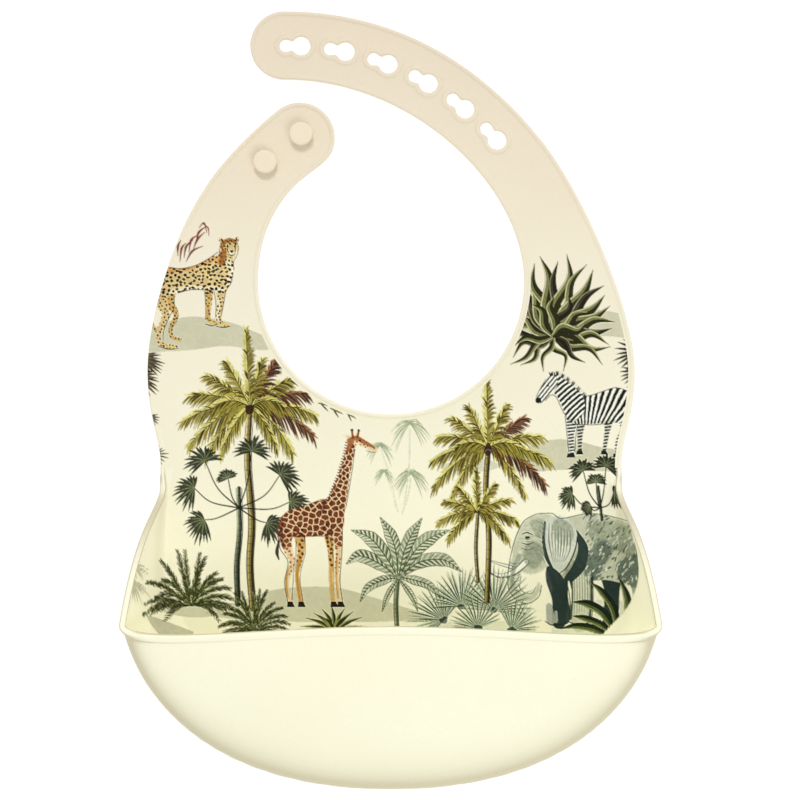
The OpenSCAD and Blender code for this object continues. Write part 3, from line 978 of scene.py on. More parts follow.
def paint_left_edge(r):
    # red-brown reeds behind the big cat
    reeds, darks = [], []
    for x0, y0, x1, y1 in ((180, 262, 186, 243), (184, 258, 193, 240), (189, 253, 198, 235), (193, 250, 205, 232), (186, 262, 203, 246), (178, 256, 181, 240), (196, 243, 207, 226)):
        mid = ((x0 + x1) / 2 + r.uniform(-3, 0), (y0 + y1) / 2 - r.uniform(1, 4))
        reeds.append(stroke([(x0, y0), mid, (x1, y1)], [0.4, 2.1, 0.6]))
        darks.append(stroke([(x0, y0), (mid[0] + 1, mid[1] + 0.4), (x1, y1)], [0.2, 0.7, 0.2]))
    reeds += [stroke([(199, 228), (204, 223), (207, 233)], [0.5, 1.8, 0.5]), stroke([(203, 224), (208, 228), (209, 236)], [0.5, 1.5, 0.4])]
    lay(reeds, (134, 58, 40), 0.92, 0.2)
    lay(darks, (66, 34, 30), 0.85, 0.1)
    # fans and leaf tips that run off the edge
    for x, y, f0, sp, ln, n in ((138, 358, -12, 70, 27, 9), (136, 376, -18, 80, 26, 9)):
        lay(fan(x, y, f0, sp, ln, r, n=n, width=2.9), (58, 46, 32), 0.95, 0.2)
        lay([blade(x, y, f0 - sp / 2 + sp * (k + 0.4) / n, ln * 0.9, 0.8, 0.1) for k in range(0, n, 2)], (140, 128, 90), 0.8, 0.1)
    lay(fan(148, 417, -20, 80, 13, r, n=6, width=2) + fan(153, 455, 10, 100, 16, r, n=7, width=1.8), (60, 62, 40), 0.9, 0.15)


def paint_cat(r):
    """A spotted big cat standing on the mound, looking over its shoulder."""
    coat, pale, dark, line = (218, 194, 140), (238, 224, 186), (160, 108, 50), (26, 17, 5)
    hind2 = stroke([(172, 286), (170, 302), (176, 315), (171, 328), (172, 337), (180, 340)], [12, 8.5, 5.4, 4.2, 3.8, 3.2])
    hind = stroke([(164, 280), (160, 298), (166, 314), (160, 330), (159, 342), (168, 346), (177, 347)], [20, 14, 8, 5, 4.2, 4.2, 2.6])
    fore2 = stroke([(209, 284), (209, 300), (208, 315), (210, 321), (215, 323)], [10, 6.4, 4.6, 4.4, 3.4])
    fore = stroke([(221, 280), (220.5, 300), (218.5, 317), (221, 323.5), (228, 325)], [14, 7, 4.8, 4.8, 3.4])
    trunk = spline([(158, 274), (168, 268), (180, 269), (194, 266), (207, 260), (217, 255), (228, 262), (233, 272), (231, 282), (224, 290),
                    (208, 289.5), (192, 289), (178, 293), (164, 296), (154, 290)], 6, True)
    neck = stroke([(222, 272), (225, 260), (229, 250)], [23, 17, 14])
    head = spline([(220, 246), (223, 240.5), (229, 238), (235, 239.5), (238, 244), (238.5, 250), (236, 255), (231, 257), (224.5, 255)], 6, True)
    ears = [blade(223, 243, 122, 6.4, 4.6), blade(235.5, 242, 62, 5.8, 4.2)]
    tail = stroke([(155, 290), (150, 308), (153, 326), (160, 334)], [4, 3.6, 3.4, 2.6])
    far, near = [hind2, fore2, tail], [hind, fore, trunk, neck, head] + ears
    lay(far, (204, 172, 110), 1, 0.12)
    mf = mask_of(far)
    lay(near, coat, 1, 0.12)
    m = mask_of(near)
    lay([stroke([(170, 292), (190, 288), (207, 288.6), (222, 290)], [5, 5, 5, 5]), stroke([(229, 262), (232, 272), (229, 284)], [7, 8, 6]),
         stroke([(219, 300), (217.5, 320)], [3, 2.5]), stroke([(231, 252), (236, 253.5)], [5.5, 5])], pale, 0.95, 0.06, within=m, soft=0.7)
    lay([stroke([(160, 270), (180, 270), (204, 263), (218, 257)], [4, 4, 4, 3]), stroke([(220, 262), (224, 250)], [7, 6])], (206, 150, 84), 0.7, 0.1, within=m, soft=0.7)
    pts = scatter(148, 236, 244, 350, lambda x, y: 2.7 if (y > 296 or y < 262) else 3.3, r, 12000)
    spots = [blob(x, y, (0.98 if (y > 296 or y < 262) else 1.7) * r.uniform(0.75, 1.2), (0.98 if (y > 296 or y < 262) else 1.3) * r.uniform(0.8, 1.25), 0.35, 7,
                  r.uniform(-0.6, 0.6), r=r) for x, y in pts]
    limit = 1 - mask_of([blob(232, 250.5, 6.2, 5.6, 0.02, r=r)])
    lay(spots, line, 0.95, 0.1, within=np.maximum(m * limit, mf * 0.9))
    lay([blob(x, y, 0.55, 0.45, 0.1, 6, r=r) for x, y in pts if 266 < y < 290 and x < 220][::2], dark, 0.9, 0.1, within=m)
    lay([stroke([(221, 248), (224, 242), (231, 240), (237, 243)], [4, 5, 5, 3]), stroke([(222, 262), (224, 252)], [7, 5])], (158, 104, 52), 0.75, 0.2, within=m, soft=0.5)
    face = [blob(227.6, 246.6, 1.2, 0.8, 0.1, r=r), blob(234.8, 246.4, 1.1, 0.8, 0.1, r=r), spline([(229.8, 250.6), (233.6, 250.4), (231.9, 252.9)], 4, True),
            stroke([(228, 254.4), (231.8, 255.4), (235.4, 254)], [0.5, 0.9, 0.5]), stroke([(227, 247), (227.6, 250.5), (229.4, 253.4)], [0.5, 0.8, 0.3]),
            stroke([(235.2, 247), (235.4, 250.2), (234.6, 253)], [0.5, 0.8, 0.3]), blade(223, 242, 122, 4, 1.6), blade(235.5, 241, 62, 3.6, 1.5)]
    face += [blob(x, y, 0.5, 0.45, 0.1, 5, r=r) for x, y in ((227, 241), (229.4, 240.4), (231.6, 241.6), (228.6, 243), (233.4, 242.6), (225.6, 244), (231, 244.4))]
    lay(face, line, 0.95, 0.05)
    outline = [stroke([(159, 272), (168, 267.6), (181, 268.6), (195, 265.6), (208, 259), (218, 252)], [0.5, 0.8, 0.6]),
               stroke([(233, 273), (231, 283), (226, 291), (223.6, 304), (221, 317)], [0.7, 0.7, 0.6]),
               stroke([(214, 291), (216, 304), (215.6, 318)], [0.6, 0.6]), stroke([(178, 293), (192, 289.6), (207, 290), (216, 290)], [0.6, 0.9, 0.5]),
               stroke([(174, 296), (174, 308), (170, 316), (164, 330), (163, 341)], [0.7, 0.7, 0.6, 0.6]), stroke([(204.6, 291), (205.6, 306), (205.6, 320)], [0.6, 0.5]),
               stroke([(220, 246), (219.4, 252), (221, 258)], [0.5, 0.6]), stroke([(238.6, 248), (237, 255), (233.6, 262), (234, 270)], [0.5, 0.6])]
    lay(outline, (72, 46, 26), 0.9, 0.1)
    lay([stroke([(205, 324), (212, 325.6), (218, 324.2)], [0.7, 1.2, 0.5]), stroke([(216, 326.4), (224, 327.4), (231, 326)], [0.7, 1.4, 0.5]),
         stroke([(158, 346), (168, 349), (178, 348.6)], [0.7, 1.2, 0.4])], (96, 74, 36), 0.95, 0.1)
    lay([stroke([(210, 322), (216, 323.6)], [2.4, 1.6]), stroke([(222, 324), (229, 325.4)], [2.4, 1.6]), stroke([(166, 346), (176, 347.6)], [2, 1.4])], (222, 196, 110), 0.9, 0.1)


def paint_giraffe(r):
    coat, patch, patch_d, line, hoof = (226, 202, 162), (134, 74, 42), (84, 42, 20), (52, 30, 14), (36, 28, 18)
    hind2 = stroke([(299, 530), (301, 552), (297, 574), (301, 603)], [13, 7, 4.4, 4.4])
    fore2 = stroke([(327, 528), (331, 552), (331, 578), (333, 602)], [11, 6, 4.2, 4.2])
    hind = stroke([(289, 522), (286, 542), (292, 562), (287, 582), (290, 603)], [19, 11, 6, 4.4, 4.8])
    fore = stroke([(336, 520), (338.5, 546), (337, 574), (340, 603)], [14, 7.4, 4.8, 4.8])
    trunk = spline([(281, 522), (286, 512), (297, 508), (311, 503), (324, 499), (336, 503), (343.5, 514), (343, 527), (334, 536),
                    (318, 536.5), (302, 537), (288, 537), (280, 532)], 6, True)
    neck = stroke([(331, 519), (338, 498), (344.6, 474), (349.5, 454), (352.5, 442)], [25, 18, 11.6, 9, 8.6])
    head = stroke([(351, 440), (358, 440), (367, 445), (373, 448.6), (376, 450)], [9, 8.8, 6.8, 5.6, 4.6])
    ear = [blade(350, 437.5, 158, 7.6, 3.2, 0.1), blade(356, 436.4, 44, 5.4, 2.4, 0.0)]
    horn = [stroke([(353, 437), (352, 430.6)], [1.7, 1.7], smooth_it=False), stroke([(357.4, 437), (358.6, 431)], [1.7, 1.6], smooth_it=False)]
    far, near = [hind2, fore2], [hind, fore, trunk, neck, head] + ear + horn
    lay(far, (206, 168, 104), 1, 0.1)
    mf = mask_of(far)
    lay(near, coat, 1, 0.06)
    m = mask_of(near)
    body_m = mask_of([trunk, neck]) * m
    high = mask_of([[(270, 420), (362, 420), (356, 470), (356, 547), (270, 547)]])
    seeds = scatter(272, 430, 380, 560, lambda x, y: 4.6 if y > 500 else 3.4 + max(0, (y - 450)) * 0.018, r, 9000)
    lay_cover(crazed(np.maximum(body_m, mask_of([hind, fore]) * m * high) * (1 - mask_of([head])), seeds, 0.85), patch, 0.97, 0.22)
    cells = crazed(body_m * (1 - mask_of([head])), seeds, 1.3)
    lay_cover(cells * np.clip(NOISE_FINE * 1.6 + NOISE_BIG * 0.6 + 0.35, 0, 1), patch_d, 0.75, 0.1)
    legs = mask_of([hind, fore]) * m * (1 - high)
    small = scatter(280, 545, 346, 580, lambda x, y: 3.6, r, 1500)
    lay([blob(x, y, 1.5 - (y - 545) * 0.022, 1.4 - (y - 545) * 0.02, 0.3, 6, r=r) for x, y in small], (160, 88, 46), 0.9, 0.2, within=legs)
    far_seeds = scatter(290, 525, 338, 566, lambda x, y: 3.8, r, 1500)
    lay([blob(x, y, 1.5, 1.5, 0.3, 6, r=r) for x, y in far_seeds], patch_d, 0.8, 0.2, within=mf)
    lay([blob(x, y, 0.9, 0.8, 0.3, 6, r=r) for x, y in scatter(350, 436, 368, 450, lambda x, y: 2.6, r, 300)], patch, 0.85, 0.1, within=mask_of([head]))
    lay([stroke([(334, 538), (318, 539), (300, 539)], [3, 4, 3])], (252, 238, 200), 0.7, 0.05, within=m, soft=0.5)
    lay([stroke([(322, 512), (330, 490), (339, 464), (346, 446)], [3.5, 3, 2.4, 2]), stroke([(281, 522), (281, 536), (284, 548)], [5, 4, 3]),
         stroke([(290, 536), (304, 537), (322, 536)], [2, 3, 2])], (70, 30, 24), 0.5, 0.1, within=m, soft=0.6)
    mane = []
    for k in range(24):
        y = 443 + 2.75 * k
        x = np.interp(y, [440, 454, 474, 498, 512], [347.6, 345, 339, 329.5, 321])
        mane.append(blade(x + 0.6, y, 160, 3.0, 1.3, 0.0))
    lay(mane, (104, 48, 32), 0.92, 0.1)
    lay([stroke([(352, 447), (345, 466), (337, 487), (326, 499), (311, 503.4), (296, 508)], [0.4, 0.5, 0.5]),
         stroke([(346, 508), (349, 490), (352.5, 468), (355, 449)], [0.5, 0.7, 0.5]), stroke([(342.6, 529), (342, 552), (340, 580), (342.6, 602)], [0.6, 0.8, 0.6]),
         stroke([(330, 537), (333, 556), (334, 590)], [0.6, 0.5]), stroke([(280, 532), (280, 548), (288, 562), (284.6, 582), (287.6, 602)], [0.6, 0.8, 0.6]),
         stroke([(296, 539), (296, 556), (294, 568), (292, 600)], [0.6, 0.6, 0.5]), stroke([(304.6, 538), (305, 554), (300, 576), (303, 602)], [0.6, 0.6, 0.5]),
         stroke([(366, 450.6), (371, 452.2), (376, 452)], [0.3, 0.7, 0.3]), stroke([(355, 436), (364, 440.6), (373, 445.4)], [0.5, 0.5, 0.3])], line, 0.88, 0.1)
    lay([stroke([(349, 441), (356, 438), (364, 442), (374, 447)], [5, 5, 4, 3]), stroke([(348, 449), (351, 443)], [6, 5])], (150, 92, 54), 0.8, 0.2, within=mask_of([head, neck]), soft=0.4)
    lay([stroke([(353, 438), (352, 431)], [2.2, 2.2], smooth_it=False), stroke([(357.4, 437.4), (358.6, 431)], [2.2, 2.1], smooth_it=False)], (128, 76, 44), 0.95, 0.1)
    face = [blob(360, 440.6, 1.2, 1.0, 0.05, r=r), blob(374.4, 448.4, 0.8, 0.6, 0.05, r=r), blob(352, 430, 1.5, 1.2, 0.1, r=r), blob(358.8, 430.4, 1.4, 1.1, 0.1, r=r)]
    lay(face, line, 0.95, 0.05)
    lay([stroke([(282, 517), (277.6, 530), (279, 542)], [1.8, 1.4, 1.2])], (120, 70, 40), 0.95, 0.1)
    lay([stroke([(279, 541), (277, 552), (279, 560)], [2.4, 3.8, 1.0])], line, 0.95, 0.1)
    hooves = [[(x - 2.6, 601.6), (x + 2.4, 601.6), (x + 4.8, 607), (x - 3.0, 607)] for x in (290, 301, 333.5, 340.4)]
    lay(hooves, hoof, 0.97, 0.1)
    lay([stroke([(288, 566), (286, 582), (288, 598)], [3, 2.0, 1.6]), stroke([(336.6, 560), (336, 580), (338, 598)], [2, 1.8, 1.8]),
         stroke([(300, 560), (297, 580), (300, 600)], [3, 2, 2])], (190, 138, 56), 0.7, 0.15, within=np.maximum(m, mf), soft=0.4)


def lay_cover(cov, colour, alpha=1.0, vary=0.06):
    ys, xs = np.where(cov.max(1) > 0)[0], np.where(cov.max(0) > 0)[0]
    if len(ys):
        sl = (slice(ys[0], ys[-1] + 1), slice(xs[0], xs[-1] + 1))
        put(sl, cov[sl], colour, alpha, vary)


def paint_zebra(r):
    white, line = (240, 238, 218), (28, 34, 34)
    hind2 = stroke([(609, 416), (607, 432), (604, 452)], [11, 5, 3.4])
    fore2 = stroke([(582, 416), (580, 434), (580, 452)], [10, 5.4, 3.4])
    hind = stroke([(622, 408), (625, 428), (618, 442), (617, 455)], [18, 9, 5, 4])
    fore = stroke([(573, 414), (571, 434), (572, 455)], [15, 6.4, 4])
    trunk = spline([(563, 402), (572, 394), (586, 396), (600, 392), (614, 388), (628, 392), (634, 408), (626, 421), (610, 423), (594, 424), (578, 424), (566, 417)], 6, True)
    neck = spline([(549, 376), (556, 374), (564, 378), (573, 385), (583, 396), (584, 412), (572, 422), (565, 414), (560, 402), (554, 393), (547, 390)], 6, True)
    head = spline([(546, 379), (551, 375), (557, 378), (557, 386), (551, 394), (545, 400), (540, 403.6), (536.6, 402.4), (535.6, 398.6), (540, 390)], 6, True)
    ears = [blade(550.5, 377, 108, 6.4, 3.0), blade(554, 377, 76, 6.2, 3.0)]
    far, near = [hind2, fore2], [hind, fore, trunk, neck, head] + ears
    lay(far, (196, 198, 182), 1, 0.05)
    lay(near, white, 1, 0.04)
    m, mf = mask_of(near), mask_of(far)
    mh, mn, mt = mask_of([head]), mask_of([neck]), mask_of([trunk])
    lay([stroke([(568, 421), (590, 424), (614, 422)], [5, 6, 5])], (176, 180, 164), 0.6, 0.1, within=m, soft=0.6)
    # flank bands fan out over the rump
    ang = lambda x, y: np.arctan2(x - 585.0, 458.0 - y)
    lay_cover(field_lines(m * mt * (1 - mn), lambda x, y: ang(x, y) * 13.5 / 1.2, 0.5), line, 0.97, 0.05)
    # neck bands lie across the neck
    axis = np.array([0.62, 0.78])
    lay_cover(field_lines(m * mn * (1 - mh), lambda x, y: ((x - 548) * axis[0] + (y - 376) * axis[1] - 0.012 * (x - y - 180) ** 2 * 0.2) / 4.3, 0.54), line, 0.97, 0.05)
    lay_cover(field_lines(m * mh, lambda x, y: ((x - 536) * 0.55 - (y - 404) * -0.1 + 0.35 * (y - 404)) / 2.3, 0.42), line, 0.85, 0.05)
    legs = np.maximum(mask_of([hind, fore]) * m * (1 - mt), mf * (1 - m))
    lay_cover(field_lines(legs, lambda x, y: (y + 0.12 * (x - 590)) / 3.2, 0.52), line, 0.95, 0.05)
    mane = []
    for k in range(26):
        x = 551 + 1.28 * k
        y = np.interp(x, [549, 556, 564, 573, 583], [376, 374, 378, 385, 396])
        mane.append(blade(x, y + 1, 82 - 1.2 * k, 4.8, 1.6))
    lay([b for i, b in enumerate(mane) if (i // 2) % 2 == 0], line, 0.95, 0.05)
    lay([b for i, b in enumerate(mane) if (i // 2) % 2], (214, 212, 192), 0.95, 0.05)
    lay([blob(538.4, 400.6, 3.0, 2.9, 0.12, turn=-0.8, r=r), blob(547.6, 385.6, 1.3, 1.0, 0.05, r=r),
         [(567.6, 453.6), (574, 453.6), (575.4, 457.6), (566.4, 457.6)], [(613.6, 453.6), (619.6, 453.6), (621, 457.6), (612.4, 457.6)],
         [(577, 450.6), (582, 450.6), (583.4, 454.6), (576, 454.6)], [(601.6, 450.6), (606, 450.6), (607.6, 454.6), (600.6, 454.6)],
         blade(550.5, 376, 108, 4.6, 1.2), blade(554, 376, 76, 4.6, 1.2)], line, 0.95, 0.05)
    lay([stroke([(583, 396), (592, 395), (604, 391), (616, 387.6), (628, 391)], [0.6, 0.7, 0.6]), stroke([(565, 416), (566.6, 430), (568.6, 452)], [0.7, 0.7]),
         stroke([(577.6, 424), (575.6, 438), (574.8, 452)], [0.6, 0.6]), stroke([(545, 401), (551, 395), (556, 397), (560, 405), (564, 414)], [0.6, 0.7, 0.6]),
         stroke([(578, 424.6), (594, 424.8), (610, 423.4)], [0.5, 0.7, 0.5]), stroke([(546, 379), (540, 389), (536, 397)], [0.5, 0.7, 0.5])], line, 0.85, 0.05)


def paint_elephant(r):
    skin, pale, mid, slate, line = (200, 203, 178), (226, 228, 206), (158, 165, 142), (50, 66, 62), (38, 48, 38)
    fore2 = stroke([(556, 560), (560, 586), (559, 622)], [24, 16, 14])
    hind2 = stroke([(610, 566), (612, 592), (610, 630)], [26, 15, 15])
    fore = stroke([(578, 558), (582, 590), (580, 622)], [30, 21, 21])
    hind = stroke([(642, 560), (646, 590), (646, 640)], [44, 28, 26])
    body = spline([(548, 532), (562, 519), (590, 514), (616, 518), (644, 528), (668, 540), (668, 574), (640, 586), (606, 580), (576, 582), (552, 572)], 7, True)
    head = spline([(517, 534), (524, 521), (536, 514), (550, 514), (560, 524), (562, 542), (554, 560), (540, 572), (527, 574), (515, 566), (512, 550)], 7, True)
    nose = stroke([(520, 558), (514, 574), (514, 588), (521, 597), (530, 598), (537, 592), (539, 584)], [17, 13, 10, 8.4, 7, 5.6, 3.6])
    ear = spline([(545, 522), (556, 515), (570, 520), (577, 534), (574, 550), (566, 566), (556, 574), (547, 566), (544, 548)], 7, True)
    lay([fore2, hind2], slate, 1, 0.12)
    near = [hind, fore, body, head, nose]
    lay(near, skin, 1, 0.07)
    m = mask_of(near)
    lay([stroke([(576, 552), (572, 568), (562, 584)], [14, 12, 8]), stroke([(600, 584), (630, 588), (664, 584)], [8, 10, 10]),
         spline([(586, 524), (606, 520), (634, 530), (654, 546), (644, 560), (616, 550), (596, 546)], 6, True),
         stroke([(592, 562), (592, 592), (590, 622)], [10, 6, 5])], mid, 0.85, 0.25, within=m, soft=1.0)
    lay([spline([(584, 566), (594, 546), (606, 540), (612, 552), (604, 566), (598, 580), (588, 584)], 6, True),
         spline([(616, 566), (630, 556), (650, 552), (660, 566), (650, 584), (626, 586)], 6, True)], (96, 110, 98), 0.85, 0.25, within=m, soft=1.2)
    tufts = [[], [], [], []]
    for k in range(260):
        x, y = r.uniform(582, 652), r.uniform(516, 586)
        t = blade(x, y, 48 + 0.25 * (x - 590) + r.uniform(-22, 22), r.uniform(3, 8), r.uniform(0.8, 2.2), 0.1)
        tufts[k % 4].append(t)
    lay(tufts[0], (120, 130, 108), 0.8, 0.2, within=m)
    lay(tufts[1], pale, 0.8, 0.1, within=m)
    lay(tufts[2], (84, 98, 84), 0.8, 0.2, within=m)
    lay(tufts[3], (206, 210, 196), 0.85, 0.1, within=m)
    # front leg: pale folds and a dark inner side
    lay([stroke([(570, 574), (571, 598), (570, 618)], [5, 4, 4]), stroke([(592, 578), (591.6, 600), (590, 620)], [3, 3.4, 3])], slate, 0.85, 0.15, within=m, soft=0.3)
    lay([stroke([(574 + 2.6 * k, 572 + r.uniform(-4, 4)), (574.6 + 2.6 * k, 596 + r.uniform(-3, 3)), (574 + 2.5 * k, 616 + r.uniform(-6, 2))], [0.4, 1.0, 0.3]) for k in range(7)],
        mid, 0.95, 0.1, within=m)
    lay([stroke([(575.5 + 2.6 * k, 575), (576 + 2.6 * k, 596), (575.6 + 2.5 * k, 614)], [0.3, 0.9, 0.3]) for k in range(6)], pale, 0.9, 0.1, within=m)
    lay([stroke([(509.5 + 0.4 * k, 562 + 3.0 * k), (514.5 + 0.2 * k, 563.8 + 3.0 * k), (521 - 0.2 * k, 562.6 + 2.9 * k)], [0.4, 0.9, 0.4]) for k in range(10)], (106, 116, 110), 0.9, 0.1, within=m)
    lay([stroke([(520, 552), (516.5, 570), (517, 586), (523, 594)], [3, 3, 2.6, 1.6])], pale, 0.7, 0.1, within=m, soft=0.4)
    # ear and the deep shade behind it
    lay([stroke([(576, 532), (583, 548), (579, 566), (568, 580)], [4, 10, 13, 9])], slate, 0.97, 0.15, within=m)
    lay([ear], (206, 210, 194), 1, 0.08)
    me = mask_of([ear])
    lay([spline([(556, 519), (568, 522), (574, 534), (568, 546), (558, 542), (552, 530)], 6, True)], mid, 0.8, 0.25, within=me, soft=0.7)
    lay([stroke([(549 + 3.0 * k, 523 + k), (549 + 3.0 * k, 542 + k), (553 + 1.6 * k, 562)], [0.4, 1.2, 0.3]) for k in range(8)], (112, 122, 116), 0.85, 0.15, within=me)
    lay([stroke([(551 + 3.0 * k, 526 + k), (551.5 + 2.8 * k, 544), (555 + 1.5 * k, 560)], [0.3, 0.9, 0.3]) for k in range(7)], pale, 0.8, 0.15, within=me)
    lay([stroke([(545, 522), (543.6, 540), (547, 558), (555, 573)], [1.8, 3.0, 3.8, 1.6])], slate, 0.95, 0.15)
    lay([stroke([(577.6, 534), (575, 550), (567, 567), (556.6, 575)], [0.8, 1.3, 1.2, 0.6])], line, 0.9, 0.1)
    # far leg in the shade
    lay([spline([(548, 566), (562, 576), (568, 596), (569, 622), (553, 623), (552, 600), (546, 580)], 6, True)], slate, 0.97, 0.12)
    lay([stroke([(549, 606), (551, 620)], [6, 9]), stroke([(556, 612), (556, 621)], [3, 4])], (168, 174, 162), 0.9, 0.1)
    # tusks
    lay([stroke([(526, 562), (514, 572.4), (500, 576), (488, 571)], [7.4, 6.0, 4.8, 2.4])], (96, 100, 82), 1, 0.03)
    lay([stroke([(526, 562), (514, 572), (500, 575.4), (489, 570.6)], [5.2, 3.8, 2.6, 0.8])], (246, 244, 226), 1, 0.03)
    lay([stroke([(511, 567), (500, 564), (490, 560.6)], [4.0, 3.0, 1.6])], (120, 124, 104), 0.9, 0.03)
    lay([stroke([(511, 567), (500, 564), (491, 561)], [2.4, 1.6, 0.5])], (230, 230, 210), 0.95, 0.03)
    lay([spline([(530, 541), (542, 546), (543, 560), (534, 569), (525, 563), (524, 550)], 6, True), spline([(530, 522), (541, 519), (546, 528), (540, 538), (534, 532)], 6, True)], (132, 140, 120), 0.6, 0.3, within=mask_of([head]), soft=1.0)
    lay([stroke([(519, 556), (513, 572), (511.6, 588)], [5, 4, 3])], (128, 136, 118), 0.6, 0.2, within=m, soft=0.6)
    lay([blob(527.4, 538, 2.4, 1.7, 0.15, r=r), stroke([(521.6, 534.4), (527, 532.6), (533, 535)], [0.6, 1.4, 0.5]), stroke([(522, 543), (528, 544.4), (534, 542)], [0.5, 1.0, 0.4]),
         stroke([(521, 548), (528, 550), (535, 547)], [0.3, 0.7, 0.3])], line, 0.92, 0.05)
    lay([stroke([(536, 514), (524, 521), (517, 534), (512, 550), (509, 566), (507.6, 580), (510, 592), (519, 601.6), (530, 602.6), (539, 596), (541.6, 585)], [0.6, 0.9, 0.8, 0.9, 1.0, 1.0, 0.8]),
         stroke([(521, 576), (519.6, 587), (525, 593), (532, 593), (536, 587)], [0.7, 0.9, 0.7]), stroke([(536, 514), (552, 513.4), (562, 518.4), (590, 513.4), (620, 518.6), (648, 529)], [0.6, 0.8, 0.7, 0.6]),
         stroke([(569, 622), (580, 625), (591, 621.4)], [0.9, 1.3, 0.9]), stroke([(545, 621), (552, 625), (566, 623.6)], [0.9, 1.3, 0.9]),
         stroke([(593, 576), (593, 600), (591.6, 620)], [0.8, 1.1, 0.8]), stroke([(566.6, 580), (570, 600), (569.6, 620)], [0.8, 1.1, 0.8])], line, 0.88, 0.08)
    lay([stroke([(516 + r.uniform(0, 22), y), (524 + r.uniform(0, 20), y + r.uniform(-1, 1))], [0.4, 0.7], smooth_it=False) for y in np.arange(518, 568, 2.6)], mid, 0.8, 0.1, within=mask_of([head]))
    lay([stroke([(538 + r.uniform(-4, 4), y), (543, y + 4), (545, y + 8)], [0.4, 0.8, 0.3]) for y in np.arange(520, 560, 5)], (112, 120, 112), 0.8, 0.1, within=mask_of([head]))


def paint_plume(x, y, ang, length, droop, leaf, cols, r, flip=1):
    """One broad palm frond: pale leaflets above the rib, deep ones below, inked between."""
    dark, mid, light = cols
    a = math.radians(ang)
    t = np.linspace(0, 1, 14)
    rx = x + length * t * math.cos(a)
    ry = y - length * t * math.sin(a) + droop * length * t * t
    n = int(10 + length * 0.34)
    up, down, inkl = [], [], []
    for k in range(n):
        u = 0.08 + 0.92 * k / (n - 1)
        bx, by = np.interp(u, t, rx), np.interp(u, t, ry)
        tang = math.degrees(math.atan2(length * math.sin(a) - 2 * droop * length * u, length * math.cos(a)))
        ln = leaf * (0.5 + 0.75 * math.sin(math.pi * (0.1 + 0.78 * u)))
        for side in (-1, 1):
            l2 = ln * r.uniform(0.75, 1.2)
            aa = tang + side * (40 - 20 * u) + r.uniform(-7, 7)
            # leaflets hang: those on the upper side stay short
            upper = math.sin(math.radians(aa)) > math.sin(math.radians(tang)) if abs(math.cos(math.radians(tang))) > 0.3 else side > 0
            b = blade(bx, by, aa, l2 * (0.8 if upper else 1.15), 2.1 * r.uniform(0.7, 1.2), 0.12 if upper else 0.42)
            (up if upper else down).append(b)
            if r.uniform() < 0.55:
                inkl.append(blade(bx, by, aa - 4, l2 * (0.7 if upper else 1.1), 0.9 * r.uniform(0.6, 1.5), 0.14 if upper else 0.44))
    lay(down, mid, 0.96, 0.2)
    lay(inkl[1::2], dark, 0.92, 0.15)
    lay(up, light, 0.95, 0.15)
    lay(inkl[::2], dark, 0.88, 0.15)
    lay([stroke(np.stack([rx, ry], 1), [1.5, 1.0, 0.4], smooth_it=False)], dark, 0.9, 0.1)
    lay([stroke(np.stack([rx[:9], ry[:9] - 0.8], 1), [0.8, 0.6, 0.2], smooth_it=False)], light, 0.9, 0.1)


def trunk_of(pts, w, cols, r):
    dark, mid, light = cols
    body = stroke(pts, w)
    m = mask_of([body])
    lay([body], mid, 0.97, 0.15)
    sp, wid = spline(pts, 12), max(w)
    lay([stroke(sp + (wid * 0.3, 0), [wid * 0.42] * 3, smooth_it=False)], dark, 0.9, 0.1, within=m)
    lay([stroke(sp + (-wid * 0.26, 0), [wid * 0.2] * 3, smooth_it=False)], light, 0.85, 0.1, within=m)
    lay([stroke([(q[0] - wid, q[1] + r.uniform(0, 1.4)), (q[0] + wid, q[1] - r.uniform(0, 1.4))], [0.5, 0.9], smooth_it=False) for q in sp[::2]], dark, 0.55, 0.1, within=m)
    lay([stroke(sp + (s * wid * 0.47, 0), [0.6, 0.9, 0.6], smooth_it=False) for s in (-1, 1)], dark, 0.85, 0.1)


